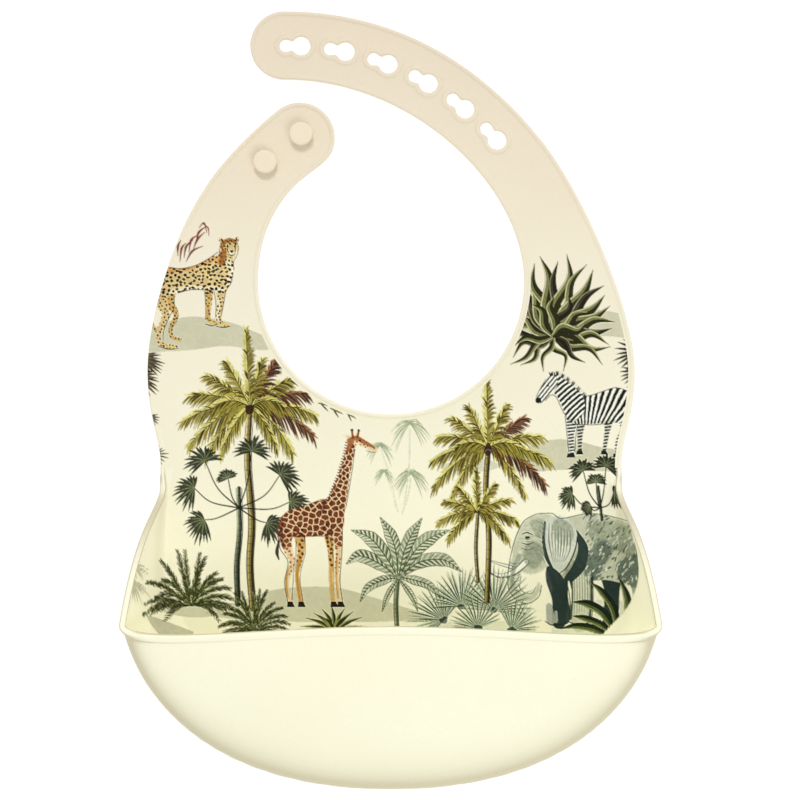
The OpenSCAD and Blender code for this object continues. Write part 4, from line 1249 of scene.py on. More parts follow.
def paint_plants(r):
    olive, brown = (OLIVE_D, OLIVE_M, OLIVE_L), (BROWN_D, BROWN_M, BROWN_L)
    bark = ((58, 48, 26), (126, 112, 58), (186, 172, 104))
    # big palm on the left
    trunk_of([(250, 410), (248, 460), (252, 520), (250, 565), (253, 608)], [5.2, 5.6, 6.0, 6.4, 7.4], bark, r)
    for a, ln, d, c in ((198, 46, 0.75, olive), (-16, 44, 0.75, olive), (184, 60, 0.55, olive), (2, 62, 0.48, brown), (212, 34, 0.8, olive), (-34, 32, 0.7, olive),
                        (168, 68, 0.42, olive), (14, 66, 0.36, olive), (152, 66, 0.3, olive), (28, 62, 0.26, brown), (136, 58, 0.16, olive), (44, 54, 0.2, olive),
                        (116, 52, 0.06, olive), (62, 54, 0.04, brown), (76, 48, 0.02, olive), (93, 76, 0.0, olive), (146, 40, 0.5, olive), (36, 40, 0.55, olive)):
        paint_plume(250, 407, a, ln, d, 11 if ln > 40 else 9, c, r)
    lay([blob(250, 409, 4.4, 6, 0.3, r=r)], BROWN_D, 0.85, 0.1)
    # dark fan palm in front of it
    trunk_of([(239, 488), (240, 530), (237, 566), (238, 604)], [3.8, 4.2, 4.6, 5.8], ((24, 34, 28), (66, 78, 58), (120, 128, 92)), r)
    fans_b = [(205, 461, 118, 190, 23), (252, 451, 84, 200, 23), (194, 488, 172, 190, 22), (280, 475, 40, 190, 24),
              (204, 520, 205, 180, 21), (290, 502, 2, 185, 22), (267, 523, -26, 175, 20), (228, 478, 110, 165, 14)]
    fan_crown((239, 508), fans_b, r)
    # ferns
    for bx, by, sc in ((190, 606, 1.0), (254, 631, 0.82)):
        fronds = [(170, 38, 0.42), (158, 44, 0.55), (150, 50, 0.42), (140, 54, 0.5), (132, 58, 0.34), (122, 58, 0.36), (113, 62, 0.2), (104, 60, 0.12), (93, 60, 0.02),
                  (84, 56, 0.1), (74, 62, 0.14), (64, 58, 0.28), (54, 58, 0.34), (44, 54, 0.42), (34, 50, 0.44), (24, 44, 0.4), (12, 36, 0.3), (162, 30, 0.8), (20, 32, 0.8),
                  (100, 38, 0.2), (80, 36, 0.2)]
        for a, ln, d in fronds:
            a0, ln = math.radians(a + r.uniform(-3, 3)), ln * sc * r.uniform(0.9, 1.08)
            t = np.linspace(0, 1, 12)
            x0 = bx + r.uniform(-3, 3) * sc
            rx, ry = x0 + ln * t * math.cos(a0), by - ln * t * math.sin(a0) + d * ln * t ** 2.2
            lay([stroke(np.stack([rx, ry], 1), np.array([0.9, 2.6, 3.4, 2.6, 0.2]) * sc, smooth_it=False)], (164, 168, 128), 0.9, 0.2)
            teeth, shine = [], []
            n = int(8 + ln * 0.2)
            for k in range(n):
                u = 0.12 + 0.86 * k / (n - 1)
                px, py = np.interp(u, t, rx), np.interp(u, t, ry)
                tang = math.degrees(math.atan2(-(np.interp(min(u + 0.05, 1), t, ry) - np.interp(u - 0.05, t, ry)), np.interp(min(u + 0.05, 1), t, rx) - np.interp(u - 0.05, t, rx)))
                for side in (-1, 1):
                    l2 = (3.2 + 3.6 * math.sin(math.pi * u)) * sc * r.uniform(0.8, 1.25)
                    (teeth if r.uniform() < 0.8 else shine).append(blade(px, py, tang + side * r.uniform(22, 34), l2, 1.15 * sc, 0.1))
            lay(teeth, (58, 64, 28), 0.94, 0.25)
            lay(shine, (128, 134, 90), 0.9, 0.2)
            lay([stroke(np.stack([rx, ry], 1), [1.1 * sc, 0.9 * sc, 0.3], smooth_it=False)], (56, 62, 26), 0.95, 0.1)
    # low agave at the foot of the page
    for a, ln in ((170, 32), (152, 30), (134, 26), (114, 25), (92, 27), (70, 25), (50, 27), (30, 30), (10, 32), (124, 18), (60, 18)):
        c = math.cos(math.radians(a))
        pts = [(334, 632), (334 + ln * 0.5 * c, 632 - ln * 0.5 * math.sin(math.radians(a)) - 2), (334 + ln * c + 2 * (1 if c > 0 else -1), 632 - ln * math.sin(math.radians(a)))]
        strap_leaf(pts, [3.2, 4.0, 0.3], (44, 52, 26), (112, 118, 62), (186, 188, 122))
    # broad-leaved plant
    leaf_d, leaf_m, leaf_l = (76, 90, 60), (160, 170, 140), (220, 222, 196)
    trunk_of([(397, 628), (396, 604), (398, 574)], [4.6, 4.0, 3.6], (leaf_d, (112, 122, 88), (172, 178, 140)), r)
    for pts, w in (([(398, 578), (380, 564), (360, 556), (346, 564)], [3, 13, 13, 0.4]), ([(398, 578), (384, 580), (368, 588), (360, 602)], [2, 9, 8, 0.4]),
                   ([(398, 577), (384, 554), (370, 538), (351, 530)], [3, 14, 14, 0.4]), ([(398, 577), (396, 552), (390, 534), (380, 517)], [3, 12, 12, 0.4]),
                   ([(399, 577), (414, 580), (430, 586), (442, 600)], [2, 9, 8, 0.4]), ([(399, 577), (420, 562), (444, 560), (462, 572)], [3, 13, 13, 0.4]),
                   ([(399, 577), (414, 552), (430, 538), (450, 530)], [3, 14, 14, 0.4]),
                   ([(399, 576), (404, 552), (412, 534), (422, 518)], [3, 11, 12, 0.4]), ([(398, 579), (391, 590), (386, 600), (382, 612)], [2, 6, 5, 0.3]),
                   ([(399, 579), (408, 590), (414, 600), (418, 612)], [2, 6, 5, 0.3])):
        body = stroke(pts, w, n=9)
        mm = mask_of([body])
        lay([body], leaf_m, 0.96, 0.25)
        sp = spline(pts, 9)
        ww = np.interp(np.linspace(0, 1, len(sp)), np.linspace(0, 1, len(w)), w)
        d = np.gradient(sp, axis=0)
        ang = np.degrees(np.arctan2(-d[:, 1], d[:, 0]))
        veins, inks = [], []
        for i in range(1, len(sp) - 1):
            for s in (-1, 1):
                if i % 2:
                    veins.append(blade(sp[i][0], sp[i][1], ang[i] + s * 44, ww[i] * 0.8, 1.5, 0.05))
                elif i % 4 == 0 or s < 0:
                    inks.append(blade(sp[i][0] + 0.8, sp[i][1] + 0.4, ang[i] + s * 40, ww[i] * 0.85, 1.7 if s < 0 else 0.8, 0.05))
        lay(inks, leaf_d, 0.8, 0.2, within=mm)
        lay(veins, leaf_l, 0.8, 0.1, within=mm)
        nr = np.stack([-d[:, 1], d[:, 0]], 1) / np.maximum(np.linalg.norm(d, axis=1), 1e-9)[:, None]
        lay([stroke(sp, [1.2, 1.0, 0.5], smooth_it=False), stroke(sp + nr * ww[:, None] * 0.5, [0.6, 0.9, 0.4], smooth_it=False),
             stroke(sp - nr * ww[:, None] * 0.5, [0.4, 0.6, 0.3], smooth_it=False)], leaf_d, 0.9, 0.1)
    # blue-green palmetto
    for hx, hy, f0, sp, ln, n in ((444, 620, 135, 170, 40, 19), (462, 606, 95, 170, 40, 19), (494, 610, 80, 190, 46, 23), (478, 628, 100, 150, 34, 15), (512, 630, 60, 120, 34, 13)):
        lay(fan(hx, hy, f0, sp, ln, r, n=n, width=2.6, curl=0.03), (166, 178, 150), 0.9, 0.15)
        lay(fan(hx, hy, f0 + 1.6, sp, ln * 0.95, r, n=n, width=1.25, curl=0.03), (60, 76, 48), 0.95, 0.15)
        lay(fan(hx, hy, f0 - 2.2, sp, ln * 0.8, r, n=n, width=0.7, curl=0.03), (214, 222, 202), 0.85, 0.1)
        lay([blob(hx, hy, 4, 3, 0.3, r=r)], (34, 52, 46), 0.8, 0.1)
    # large and small palms on the right
    trunk_of([(488, 452), (486, 490), (489, 540), (487, 602)], [4.6, 4.8, 5.0, 5.4], bark, r)
    trunk_of([(478, 512), (476, 548), (478, 582)], [3.0, 3.2, 3.4], bark, r)
    for a, ln, d, c in ((204, 40, 0.8, olive), (-22, 40, 0.8, olive), (188, 54, 0.56, olive), (-4, 56, 0.56, brown), (170, 56, 0.4, olive), (10, 62, 0.38, olive),
                        (152, 54, 0.26, olive), (26, 58, 0.24, olive), (134, 50, 0.14, olive), (46, 50, 0.14, brown), (114, 46, 0.04, olive), (68, 48, 0.06, olive),
                        (91, 70, 0.0, olive), (146, 36, 0.5, olive), (34, 38, 0.55, olive)):
        paint_plume(488, 448, a, ln, d, 10 if ln > 40 else 8, c, r)
    lay([blob(488, 450, 4.0, 6, 0.3, r=r)], BROWN_D, 0.85, 0.1)
    for a, ln, d, c in ((196, 30, 0.6, olive), (-14, 32, 0.6, olive), (174, 38, 0.36, olive), (8, 40, 0.36, olive), (150, 36, 0.2, olive), (32, 38, 0.2, olive), (124, 32, 0.06, olive),
                        (60, 34, 0.08, olive), (92, 42, 0.0, olive)):
        paint_plume(477, 512, a, ln, d, 7.5, c, r)
    # small dark fan palms
    trunk_of([(598, 486), (600, 502), (602, 520)], [1.8, 2.0, 2.4], ((24, 34, 30), (60, 72, 56), (110, 118, 92)), r)
    fan_crown((600, 508), [(583, 470, 118, 200, 17), (606, 466, 70, 200, 18), (572, 494, 190, 190, 15), (614, 493, -5, 190, 15), (590, 505, 205, 150, 10), (596, 482, 90, 170, 13)], r)
    # agave on the right: long wavy straps
    ag = [(176, 60, 7, 1), (162, 64, 8, -1), (150, 54, 9, 1), (138, 62, 9, -1), (127, 70, 10, 1), (117, 72, 10, 1), (107, 78, 11, -1), (97, 84, 12, 1), (88, 78, 10, -1),
          (78, 86, 11, 1), (68, 82, 10, -1), (58, 80, 12, 1), (48, 74, 11, -1), (38, 68, 12, 1), (28, 66, 11, 1), (18, 64, 11, -1), (8, 60, 10, 1), (-2, 56, 10, -1),
          (-12, 58, 9, 1), (-24, 56, 8, -1), (-40, 40, 7, 1), (-66, 34, 6, -1), (-110, 34, 6, 1), (-136, 42, 7, -1), (200, 44, 7, 1), (214, 50, 7, -1), (188, 40, 8, 1),
          (40, 44, 11, -1), (66, 46, 10, 1), (92, 42, 10, -1), (118, 40, 10, 1), (20, 36, 10, 1)]
    for i, (a, ln, w, s) in enumerate(ag):
        a0 = math.radians(a)
        c, q = math.cos(a0), math.sin(a0)
        bend = s * r.uniform(4, 9)
        px, py = 553.0, 336.0
        pts = [(px, py), (px + 0.33 * ln * c - bend * q * 0.6, py - 0.33 * ln * q - bend * c * 0.6), (px + 0.68 * ln * c + bend * q * 0.5, py - 0.68 * ln * q + bend * c * 0.5),
               (px + ln * c - bend * q * 0.5, py - ln * q - bend * c * 0.5 + 3)]
        dk, md, lt = ((44, 45, 18), (124, 126, 82), (204, 204, 160)) if i % 4 else ((40, 36, 24), (74, 70, 50), (160, 156, 122))
        strap_leaf(pts, [4.0, w, w * 0.7, 0.2], dk, md, lt)
    # bits that run off the right edge and the neck
    lay(fan(640, 352, 178, 130, 26, r, n=11, width=2.8), (40, 36, 30), 0.95, 0.15)
    lay(fan(640, 372, 186, 110, 22, r, n=9, width=2.6), (44, 40, 32), 0.95, 0.15)
    for x, y, a in ((318, 403, -8), (330, 408, -20), (344, 411, -28)):
        lay([blade(x, y, a, 14, 2.2, 0.1), blade(x + 3, y + 1, a - 34, 10, 1.6, 0.1), blade(x + 2, y, a + 26, 9, 1.4, 0.1)], OLIVE_D, 0.9, 0.15)
        lay([blade(x, y - 0.6, a, 13, 0.8, 0.1)], OLIVE_L, 0.9, 0.15)
    # dark leaves under the elephant
    for p, w in (([(616, 634), (604, 614), (588, 604), (572, 602)], [5, 9, 8, 0.5]), ([(618, 636), (614, 610), (602, 592), (590, 582)], [5, 8, 7, 0.4]),
                 ([(620, 636), (628, 612), (626, 594), (618, 576)], [5, 9, 7, 0.4]), ([(612, 638), (594, 629), (576, 626), (560, 629)], [4, 8, 6, 0.4]),
                 ([(624, 632), (636, 608), (646, 590)], [5, 8, 0.5]), ([(616, 636), (600, 624), (584, 618), (572, 616)], [4, 7, 6, 0.4])):
        strap_leaf(p, w, (26, 38, 26), (84, 98, 54), (160, 168, 110))


def fan_crown(crown, fans, r):
    stems, leaves, shine, mids = [], [], [], []
    for fx, fy, face, spread, length in fans:
        stems.append(stroke([crown, ((crown[0] + fx) / 2 + (fx - crown[0]) * 0.12, (crown[1] + fy) / 2 + 4), (fx, fy)], [1.6, 1.2, 1.0]))
        n = 15
        for k in range(n):
            a = face - spread / 2 + spread * k / (n - 1) + r.uniform(-3, 3)
            ln = length * (1 - 0.18 * abs(2 * k / (n - 1) - 1) ** 2) * r.uniform(0.85, 1.08)
            leaves.append(blade(fx, fy, a, ln, 3.0, 0.3))
            mids.append(blade(fx, fy, a - 3, ln * 0.86, 1.1, 0.3))
            if k % 2:
                shine.append(blade(fx, fy, a + 4, ln * 0.8, 0.8, 0.3))
    lay(stems, GREEN_D, 0.95, 0.1)
    lay(leaves, GREEN_D, 0.97, 0.15)
    lay(mids, GREEN_M, 0.85, 0.2)
    lay(shine, GREEN_L, 0.85, 0.15)


def paint_page():
    r = np.random.default_rng(11)
    paint_ground()
    paint_ghosts(r)
    paint_papyrus(r)
    paint_left_edge(r)
    paint_cat(r)
    paint_zebra(r)
    paint_elephant(r)
    paint_plants(r)
    paint_giraffe(r)
    # the print stops short on the right, in one long arc down to the pocket
    edge = spline([(600, 212), (627, 340), (631, 380), (633, 470), (631, 525), (637, 552), (638, 580), (628, 606), (603, 634), (590, 650)], 12)
    keep = np.concatenate([edge, [(100, 660), (100, 200)]])
    ink_a[:] = ink_a * mask_of([keep])


def ink_at(points):
    """Print colour and cover at points in millimetres, as seen from straight above."""
    k = CAM_H / (CAM_H - points[:, 2])
    px = (CAM_X + (points[:, 0] - CAM_X) * k) / UNIT + 391
    py = 400 - points[:, 1] * k / UNIT
    x, y = (px - PX0) * SUB - 0.5, (py - PY0) * SUB - 0.5
    ok = (x >= 0) & (x < W - 1) & (y >= 0) & (y < H - 1)
    x, y = np.clip(x, 0, W - 1.001), np.clip(y, 0, H - 1.001)
    xi, yi = x.astype(int), y.astype(int)
    fx, fy = (x - xi)[:, None], (y - yi)[:, None]
    v = (PAGE[yi, xi] * (1 - fx) * (1 - fy) + PAGE[yi, xi + 1] * fx * (1 - fy)
         + PAGE[yi + 1, xi] * (1 - fx) * fy + PAGE[yi + 1, xi + 1] * fx * fy)
    a = v[:, 3] * ok
    rgb = np.clip(v[:, :3] / np.maximum(v[:, 3:4], 1e-6), 0, 1)
    rgb = np.maximum(rgb - 0.085 * (1 - rgb) ** 1.5, 0)              # dense ink in the darks
    lin = np.where(rgb <= 0.04045, rgb / 12.92, ((rgb + 0.055) / 1.055) ** 2.4)
    return np.concatenate([lin, a[:, None]], 1)
# ---------------------------------------------------------------- materials
def srgb(r, g, b):
    def one(c):
        c /= 255.0
        return c / 12.92 if c <= 0.04045 else ((c + 0.055) / 1.055) ** 2.4
    return (one(r), one(g), one(b), 1.0)


def nodes_of(name):
    mat = bpy.data.materials.new(name)
    mat.use_nodes = True
    nt = mat.node_tree
    for n in list(nt.nodes):
        nt.nodes.remove(n)
    out = nt.nodes.new("ShaderNodeOutputMaterial")
    bsdf = nt.nodes.new("ShaderNodeBsdfPrincipled")
    nt.links.new(bsdf.outputs[0], out.inputs[0])
    return mat, nt, bsdf


def node(nt, kind, **values):
    n = nt.nodes.new(kind)
    for k, v in values.items():
        if k.startswith("in_"):
            n.inputs[int(k[3:])].default_value = v
        else:
            setattr(n, k, v)
    return n


def silicone(name, gradient, axis, roughness=0.46, ink=False, bump=0.05, mottle=1.0, painted_glow=0.0, steep_shade=0.0):
    """Matte cast silicone: a slow drift of tone, fine mottling, dust-fine specks and a soft skin."""
    mat, nt, bsdf = nodes_of(name)
    link = nt.links.new
    coord = node(nt, "ShaderNodeTexCoord")
    split = node(nt, "ShaderNodeSeparateXYZ")
    link(coord.outputs["Object"], split.inputs[0])
    ramp = node(nt, "ShaderNodeValToRGB")
    lo, hi = gradient[0][0], gradient[-1][0]
    span = node(nt, "ShaderNodeMapRange")
    span.inputs["From Min"].default_value = lo
    span.inputs["From Max"].default_value = hi
    link(split.outputs[axis], span.inputs["Value"])
    link(span.outputs[0], ramp.inputs[0])
    els = ramp.color_ramp.elements
    while len(els) < len(gradient):
        els.new(0.5)
    for e, (at, col) in zip(els, gradient):
        e.position = (at - lo) / (hi - lo)
        e.color = srgb(*col)
    # slow tone drift
    drift = node(nt, "ShaderNodeTexNoise")
    drift.inputs["Scale"].default_value = 14
    drift.inputs["Detail"].default_value = 3
    link(coord.outputs["Object"], drift.inputs["Vector"])
    warm = node(nt, "ShaderNodeMix", data_type="RGBA", blend_type="MULTIPLY")
    warm.inputs["Factor"].default_value = 1.0
    tone = node(nt, "ShaderNodeValToRGB")
    tone.color_ramp.elements[0].position, tone.color_ramp.elements[0].color = 0.3, (0.975, 0.968, 0.95, 1)
    tone.color_ramp.elements[1].position, tone.color_ramp.elements[1].color = 0.7, (1.0, 1.0, 1.0, 1)
    link(drift.outputs[0], tone.inputs[0])
    link(ramp.outputs[0], warm.inputs[6])
    link(tone.outputs[0], warm.inputs[7])
    # fine mottling in the skin
    fine = node(nt, "ShaderNodeTexNoise")
    fine.inputs["Scale"].default_value = 900
    fine.inputs["Detail"].default_value = 5
    link(coord.outputs["Object"], fine.inputs["Vector"])
    fine_tone = node(nt, "ShaderNodeValToRGB")
    fine_tone.color_ramp.elements[0].position, fine_tone.color_ramp.elements[0].color = 0.35, (0.985, 0.983, 0.975, 1)
    fine_tone.color_ramp.elements[1].position, fine_tone.color_ramp.elements[1].color = 0.62, (1, 1, 1, 1)
    link(fine.outputs[0], fine_tone.inputs[0])
    mott = node(nt, "ShaderNodeMix", data_type="RGBA", blend_type="MULTIPLY")
    mott.inputs["Factor"].default_value = mottle
    link(warm.outputs[2], mott.inputs[6])
    link(fine_tone.outputs[0], mott.inputs[7])
    # a few specks of lint
    lint = node(nt, "ShaderNodeTexVoronoi")
    lint.inputs["Scale"].default_value = 95
    link(coord.outputs["Object"], lint.inputs["Vector"])
    dot = node(nt, "ShaderNodeMath", operation="LESS_THAN")
    dot.inputs[1].default_value = 0.035
    link(lint.outputs["Distance"], dot.inputs[0])
    pick = node(nt, "ShaderNodeSeparateXYZ")
    link(lint.outputs["Color"], pick.inputs[0])
    few = node(nt, "ShaderNodeMath", operation="GREATER_THAN")
    few.inputs[1].default_value = 0.93
    link(pick.outputs[0], few.inputs[0])
    both = node(nt, "ShaderNodeMath", operation="MULTIPLY")
    link(dot.outputs[0], both.inputs[0])
    link(few.outputs[0], both.inputs[1])
    soft = node(nt, "ShaderNodeMath", operation="MULTIPLY")
    soft.inputs[1].default_value = 0.22
    link(both.outputs[0], soft.inputs[0])
    speck = node(nt, "ShaderNodeMix", data_type="RGBA", blend_type="MIX")
    link(soft.outputs[0], speck.inputs["Factor"])
    link(mott.outputs[2], speck.inputs[6])
    speck.inputs[7].default_value = srgb(196, 184, 150)
    colour = speck.outputs[2]
    rough_base = roughness
    if ink:
        paint = node(nt, "ShaderNodeAttribute", attribute_name="ink")
        # ink soaks in a little unevenly
        grain = node(nt, "ShaderNodeTexNoise")
        grain.inputs["Scale"].default_value = 1600
        grain.inputs["Detail"].default_value = 4
        link(coord.outputs["Object"], grain.inputs["Vector"])
        gt = node(nt, "ShaderNodeValToRGB")
        gt.color_ramp.elements[0].position, gt.color_ramp.elements[0].color = 0.3, (0.93, 0.93, 0.93, 1)
        gt.color_ramp.elements[1].position, gt.color_ramp.elements[1].color = 0.65, (1.0, 1.0, 1.0, 1)
        link(grain.outputs[0], gt.inputs[0])
        tinted = node(nt, "ShaderNodeMix", data_type="RGBA", blend_type="MULTIPLY")
        tinted.inputs["Factor"].default_value = 1.0
        link(paint.outputs["Color"], tinted.inputs[6])
        link(gt.outputs[0], tinted.inputs[7])
        over = node(nt, "ShaderNodeMix", data_type="RGBA", blend_type="MIX")
        link(paint.outputs["Alpha"], over.inputs["Factor"])
        link(colour, over.inputs[6])
        link(tinted.outputs[2], over.inputs[7])
        colour = over.outputs[2]
    if steep_shade:
        # painted shade: the outer wall's colour is darkened where it stands upright, standing in for the shade on its
        # steep sides
        facing = node(nt, "ShaderNodeSeparateXYZ")
        link(coord.outputs["Normal"], facing.inputs[0])
        size = node(nt, "ShaderNodeMath", operation="ABSOLUTE")
        link(facing.outputs[2], size.inputs[0])
        fall = node(nt, "ShaderNodeMapRange", interpolation_type="SMOOTHSTEP")
        fall.inputs["From Min"].default_value = 0.55
        fall.inputs["From Max"].default_value = 0.93
        fall.inputs["To Min"].default_value = 1.0
        fall.inputs["To Max"].default_value = 0.0
        link(size.outputs[0], fall.inputs["Value"])
        part = node(nt, "ShaderNodeMath", operation="MULTIPLY")
        outer = node(nt, "ShaderNodeAttribute", attribute_name="outer_wall")
        link(fall.outputs[0], part.inputs[0])
        link(outer.outputs["Fac"], part.inputs[1])
        share = node(nt, "ShaderNodeMath", operation="MULTIPLY")
        share.inputs[1].default_value = steep_shade
        link(part.outputs[0], share.inputs[0])
        deep = node(nt, "ShaderNodeMix", data_type="RGBA", blend_type="MULTIPLY")
        link(share.outputs[0], deep.inputs["Factor"])
        link(colour, deep.inputs[6])
        deep.inputs[7].default_value = (0.63, 0.58, 0.49, 1)
        colour = deep.outputs[2]
    link(colour, bsdf.inputs["Base Color"])
    # roughness varies a little, as hands polish it
    rr = node(nt, "ShaderNodeMapRange")
    rr.inputs["To Min"].default_value = rough_base - 0.05
    rr.inputs["To Max"].default_value = rough_base + 0.07
    link(drift.outputs[0], rr.inputs["Value"])
    link(rr.outputs[0], bsdf.inputs["Roughness"])
    grit = node(nt, "ShaderNodeTexNoise")
    grit.inputs["Scale"].default_value = 2600
    grit.inputs["Detail"].default_value = 3
    link(coord.outputs["Object"], grit.inputs["Vector"])
    bp = node(nt, "ShaderNodeBump")
    bp.inputs["Strength"].default_value = bump
    bp.inputs["Distance"].default_value = 0.0002
    link(grit.outputs[0], bp.inputs["Height"])
    link(bp.outputs[0], bsdf.inputs["Normal"])
    bsdf.inputs["Specular IOR Level"].default_value = 0.14
    if painted_glow:
        # painted light: the inner side walls glow faintly in their own colour, brightening them where the lamps reach
        # them less
        lit = node(nt, "ShaderNodeAttribute", attribute_name="thin_wall")
        amount = node(nt, "ShaderNodeMath", operation="MULTIPLY")
        amount.inputs[1].default_value = painted_glow
        link(lit.outputs["Fac"], amount.inputs[0])
        link(colour, bsdf.inputs["Emission Color"])
        link(amount.outputs[0], bsdf.inputs["Emission Strength"])
    return mat


def paint_object(ob, mat):
    ob.data.materials.clear()
    ob.data.materials.append(mat)


# tone along Y, in metres from the origin: yellower and paler towards the pocket
TONES = [(-0.16, (248, 246, 220)), (-0.09, (247, 245, 220)), (-0.03, (246, 243, 219)), (0.045, (241, 235, 213)),
         (0.085, (238, 228, 206)), (0.13, (234, 222, 201)), (0.162, (232, 219, 198))]
POCKET_TONES = [(-0.16, (255, 253, 226)), (-0.125, (255, 254, 228)), (-0.09, (254, 252, 226)), (-0.028, (250, 246, 225))]
mat_panel = silicone("panel silicone", TONES, 1, ink=False)
mat_film = silicone("printed film", TONES, 1, roughness=0.42, ink=True, bump=0.03)
# the pocket gets painted shade on its steep outer walls and a painted glow on its inner side walls
mat_pocket = silicone("pocket silicone", POCKET_TONES, 1, roughness=0.44, ink=True, painted_glow=0.16, steep_shade=0.8)
mat_stud = silicone("stud silicone", [(-0.1, (240, 229, 206)), (0.2, (239, 227, 204))], 1, roughness=0.5)


def set_ink(ob, mask=None):
    """Stores the print's colour and cover on each vertex of a piece."""
    me = ob.data
    co = np.zeros(len(me.vertices) * 3, np.float32)
    me.vertices.foreach_get("co", co)
    co = co.reshape(-1, 3) / MM
    rgba = ink_at(co)
    if mask is not None:
        rgba[~mask] = 0
    att = me.color_attributes.new("ink", "FLOAT_COLOR", "POINT")
    att.data.foreach_set("color", rgba.astype(np.float32).ravel())
    me.color_attributes.active_color = att
paint_page()
PAGE = np.concatenate([ink_rgb * ink_a[..., None], ink_a[..., None]], -1)


def box_blur(a, r):
    for ax in (0, 1):
        a = sum(np.roll(a, s, ax) for s in range(-r, r + 1)) / (2 * r + 1)
    return a


# the ink sits crisp: edges are drawn a little harder than the brush left them
PAGE = box_blur(PAGE, 1)
PAGE = PAGE + 1.1 * (PAGE - box_blur(box_blur(PAGE, 2), 2))
PAGE[..., 3] = np.clip(PAGE[..., 3], 0, 1)
PAGE[..., :3] = np.clip(PAGE[..., :3], 0, PAGE[..., 3:])


# ---------------------------------------------------------------- printed films
def edge_distance(points, lo, hi):
    """Distance from points to a stretch of the bib's edge."""
    e = EDGE[lo:hi]
    out = np.full(len(points), 99.0)
    for i in range(0, len(points), 4000):
        p = points[i:i + 4000]
        k = ((p[:, None, :] - e[None]) ** 2).sum(2).argmin(1)
        best = np.full(len(p), 99.0)
        for a, b in ((np.maximum(k - 1, 0), k), (k, np.minimum(k + 1, len(e) - 1))):
            s = e[b] - e[a]
            t = np.clip(((p - e[a]) * s).sum(1) / np.maximum((s * s).sum(1), 1e-9), 0, 1)
            best = np.minimum(best, np.linalg.norm(p - e[a] - s * t[:, None], axis=1))
        out[i:i + 4000] = best
    return out


def box_range(a, r):
    """Largest change of the page inside a square window of half width r samples."""
    hi, lo = a.copy(), a.copy()
    for ax in (0, 1):
        for m, f in ((hi, np.maximum), (lo, np.minimum)):
            done = 0
            while done < r:
                s = min(max(1, done), r - done)
                src = m.copy()
                m[:] = f(m, f(np.roll(src, s, ax), np.roll(src, -s, ax)))
                done += s
    return (hi - lo).max(-1)


def page_look(field, pts):
    k = CAM_H / (CAM_H - SHEET)
    x = ((CAM_X + (pts[:, 0] - CAM_X) * k) / UNIT + 391 - PX0) * SUB
    y = (400 - pts[:, 1] * k / UNIT - PY0) * SUB
    xi, yi = np.clip(x, 0, W - 1).astype(int), np.clip(y, 0, H - 1).astype(int)
    ok = (x >= 0) & (x < W) & (y >= 0) & (y < H)
    return field[yi, xi] * ok


def film_slab(name, boundary, height, bend, keep_close, depth, fine=0.29, budget=92000):
    """A thin closed skin over a boundary, with points close together where the print has detail."""
    lo, hi = boundary.min(0), boundary.max(0)
    pad = 2
    ix = np.arange(int(lo[0] / fine) - pad, int(hi[0] / fine) + pad)
    iy = np.arange(int(lo[1] / fine) - pad, int(hi[1] / fine) + pad)
    gx, gy = np.meshgrid(ix, iy)
    gx, gy = gx.ravel(), gy.ravel()
    pts = np.stack([gx * fine, gy * fine], 1)
    near_detail = page_look(DETAIL, pts)
    half = (gx % 2 == 0) & (gy % 2 == 0) & ((page_look(DETAIL_MID, pts) > 0.05) | bend(pts))
    keep1 = (gx % 4 == 0) & (gy % 4 == 0) & ((page_look(DETAIL_WIDE, pts) > 0.02) | bend(pts))
    keep2 = (gx % 16 == 0) & (gy % 16 == 0)
    cand = (near_detail > 0.07) | half | keep1 | keep2
    close = np.zeros(len(pts), bool)
    if keep_close is not None:
        close = keep_close(pts)
        cand |= close
    gx, gy, pts = gx[cand], gy[cand], pts[cand]
    near_detail, base = near_detail[cand], (half | keep1 | keep2 | close)[cand]
    ok = inside(pts, boundary)
    gx, gy, pts, near_detail, base = gx[ok], gy[ok], pts[ok], near_detail[ok], base[ok]
    room = budget - len(boundary) - int(base.sum())
    extra = np.sort(near_detail[~base])
    cutoff = 0.07 if len(extra) <= room else extra[-max(room, 1)]
    keep = base | (near_detail > cutoff)
    print("film", name, "points", int(keep.sum()), "of", len(pts), "cutoff", round(float(cutoff), 3))
    pts, gx, gy = pts[keep], gx[keep], gy[keep]
    coarse = (gx % 16 == 0) & (gy % 16 == 0) | (bend(pts) & (gx % 8 == 0) & (gy % 8 == 0))
    ok = inside(pts, boundary)
    pts, coarse = pts[ok], coarse[ok]
    near = np.zeros(len(pts), bool)
    for i in range(0, len(pts), 4000):
        d2 = ((pts[i:i + 4000, None, :] - boundary[None]) ** 2).sum(2).min(1)
        near[i:i + 4000] = d2 < 0.15 ** 2
    pts, coarse = pts[~near], coarse[~near]
    local = np.concatenate([boundary, pts])
    tri = cdt(local, [range(len(boundary))])
    tri = tri[inside(local[tri].mean(1), boundary)]
    sh = Shell()
    z = height(local)
    z[:len(boundary)] -= 0.014
    top = sh.add(np.column_stack([local, z]))
    sh.tris(top[tri])
    under = np.concatenate([boundary, pts[coarse]])
    far = np.ones(len(under), bool)
    far[len(boundary):] = far_from(pts[coarse], boundary, 0.9)
    under = under[far]
    tri = cdt(under, [range(len(boundary))])
    tri = tri[inside(under[tri].mean(1), boundary)]
    low = sh.add(np.column_stack([under, np.full(len(under), SHEET - depth)]))
    sh.tris(low[tri], flip=True)
    nb = len(boundary)
    sh.strip(low[:nb], top[:nb], True)
    ob = tidy(make_object(name, sh.points(), sh.f), 60)
    set_ink(ob)
    return ob


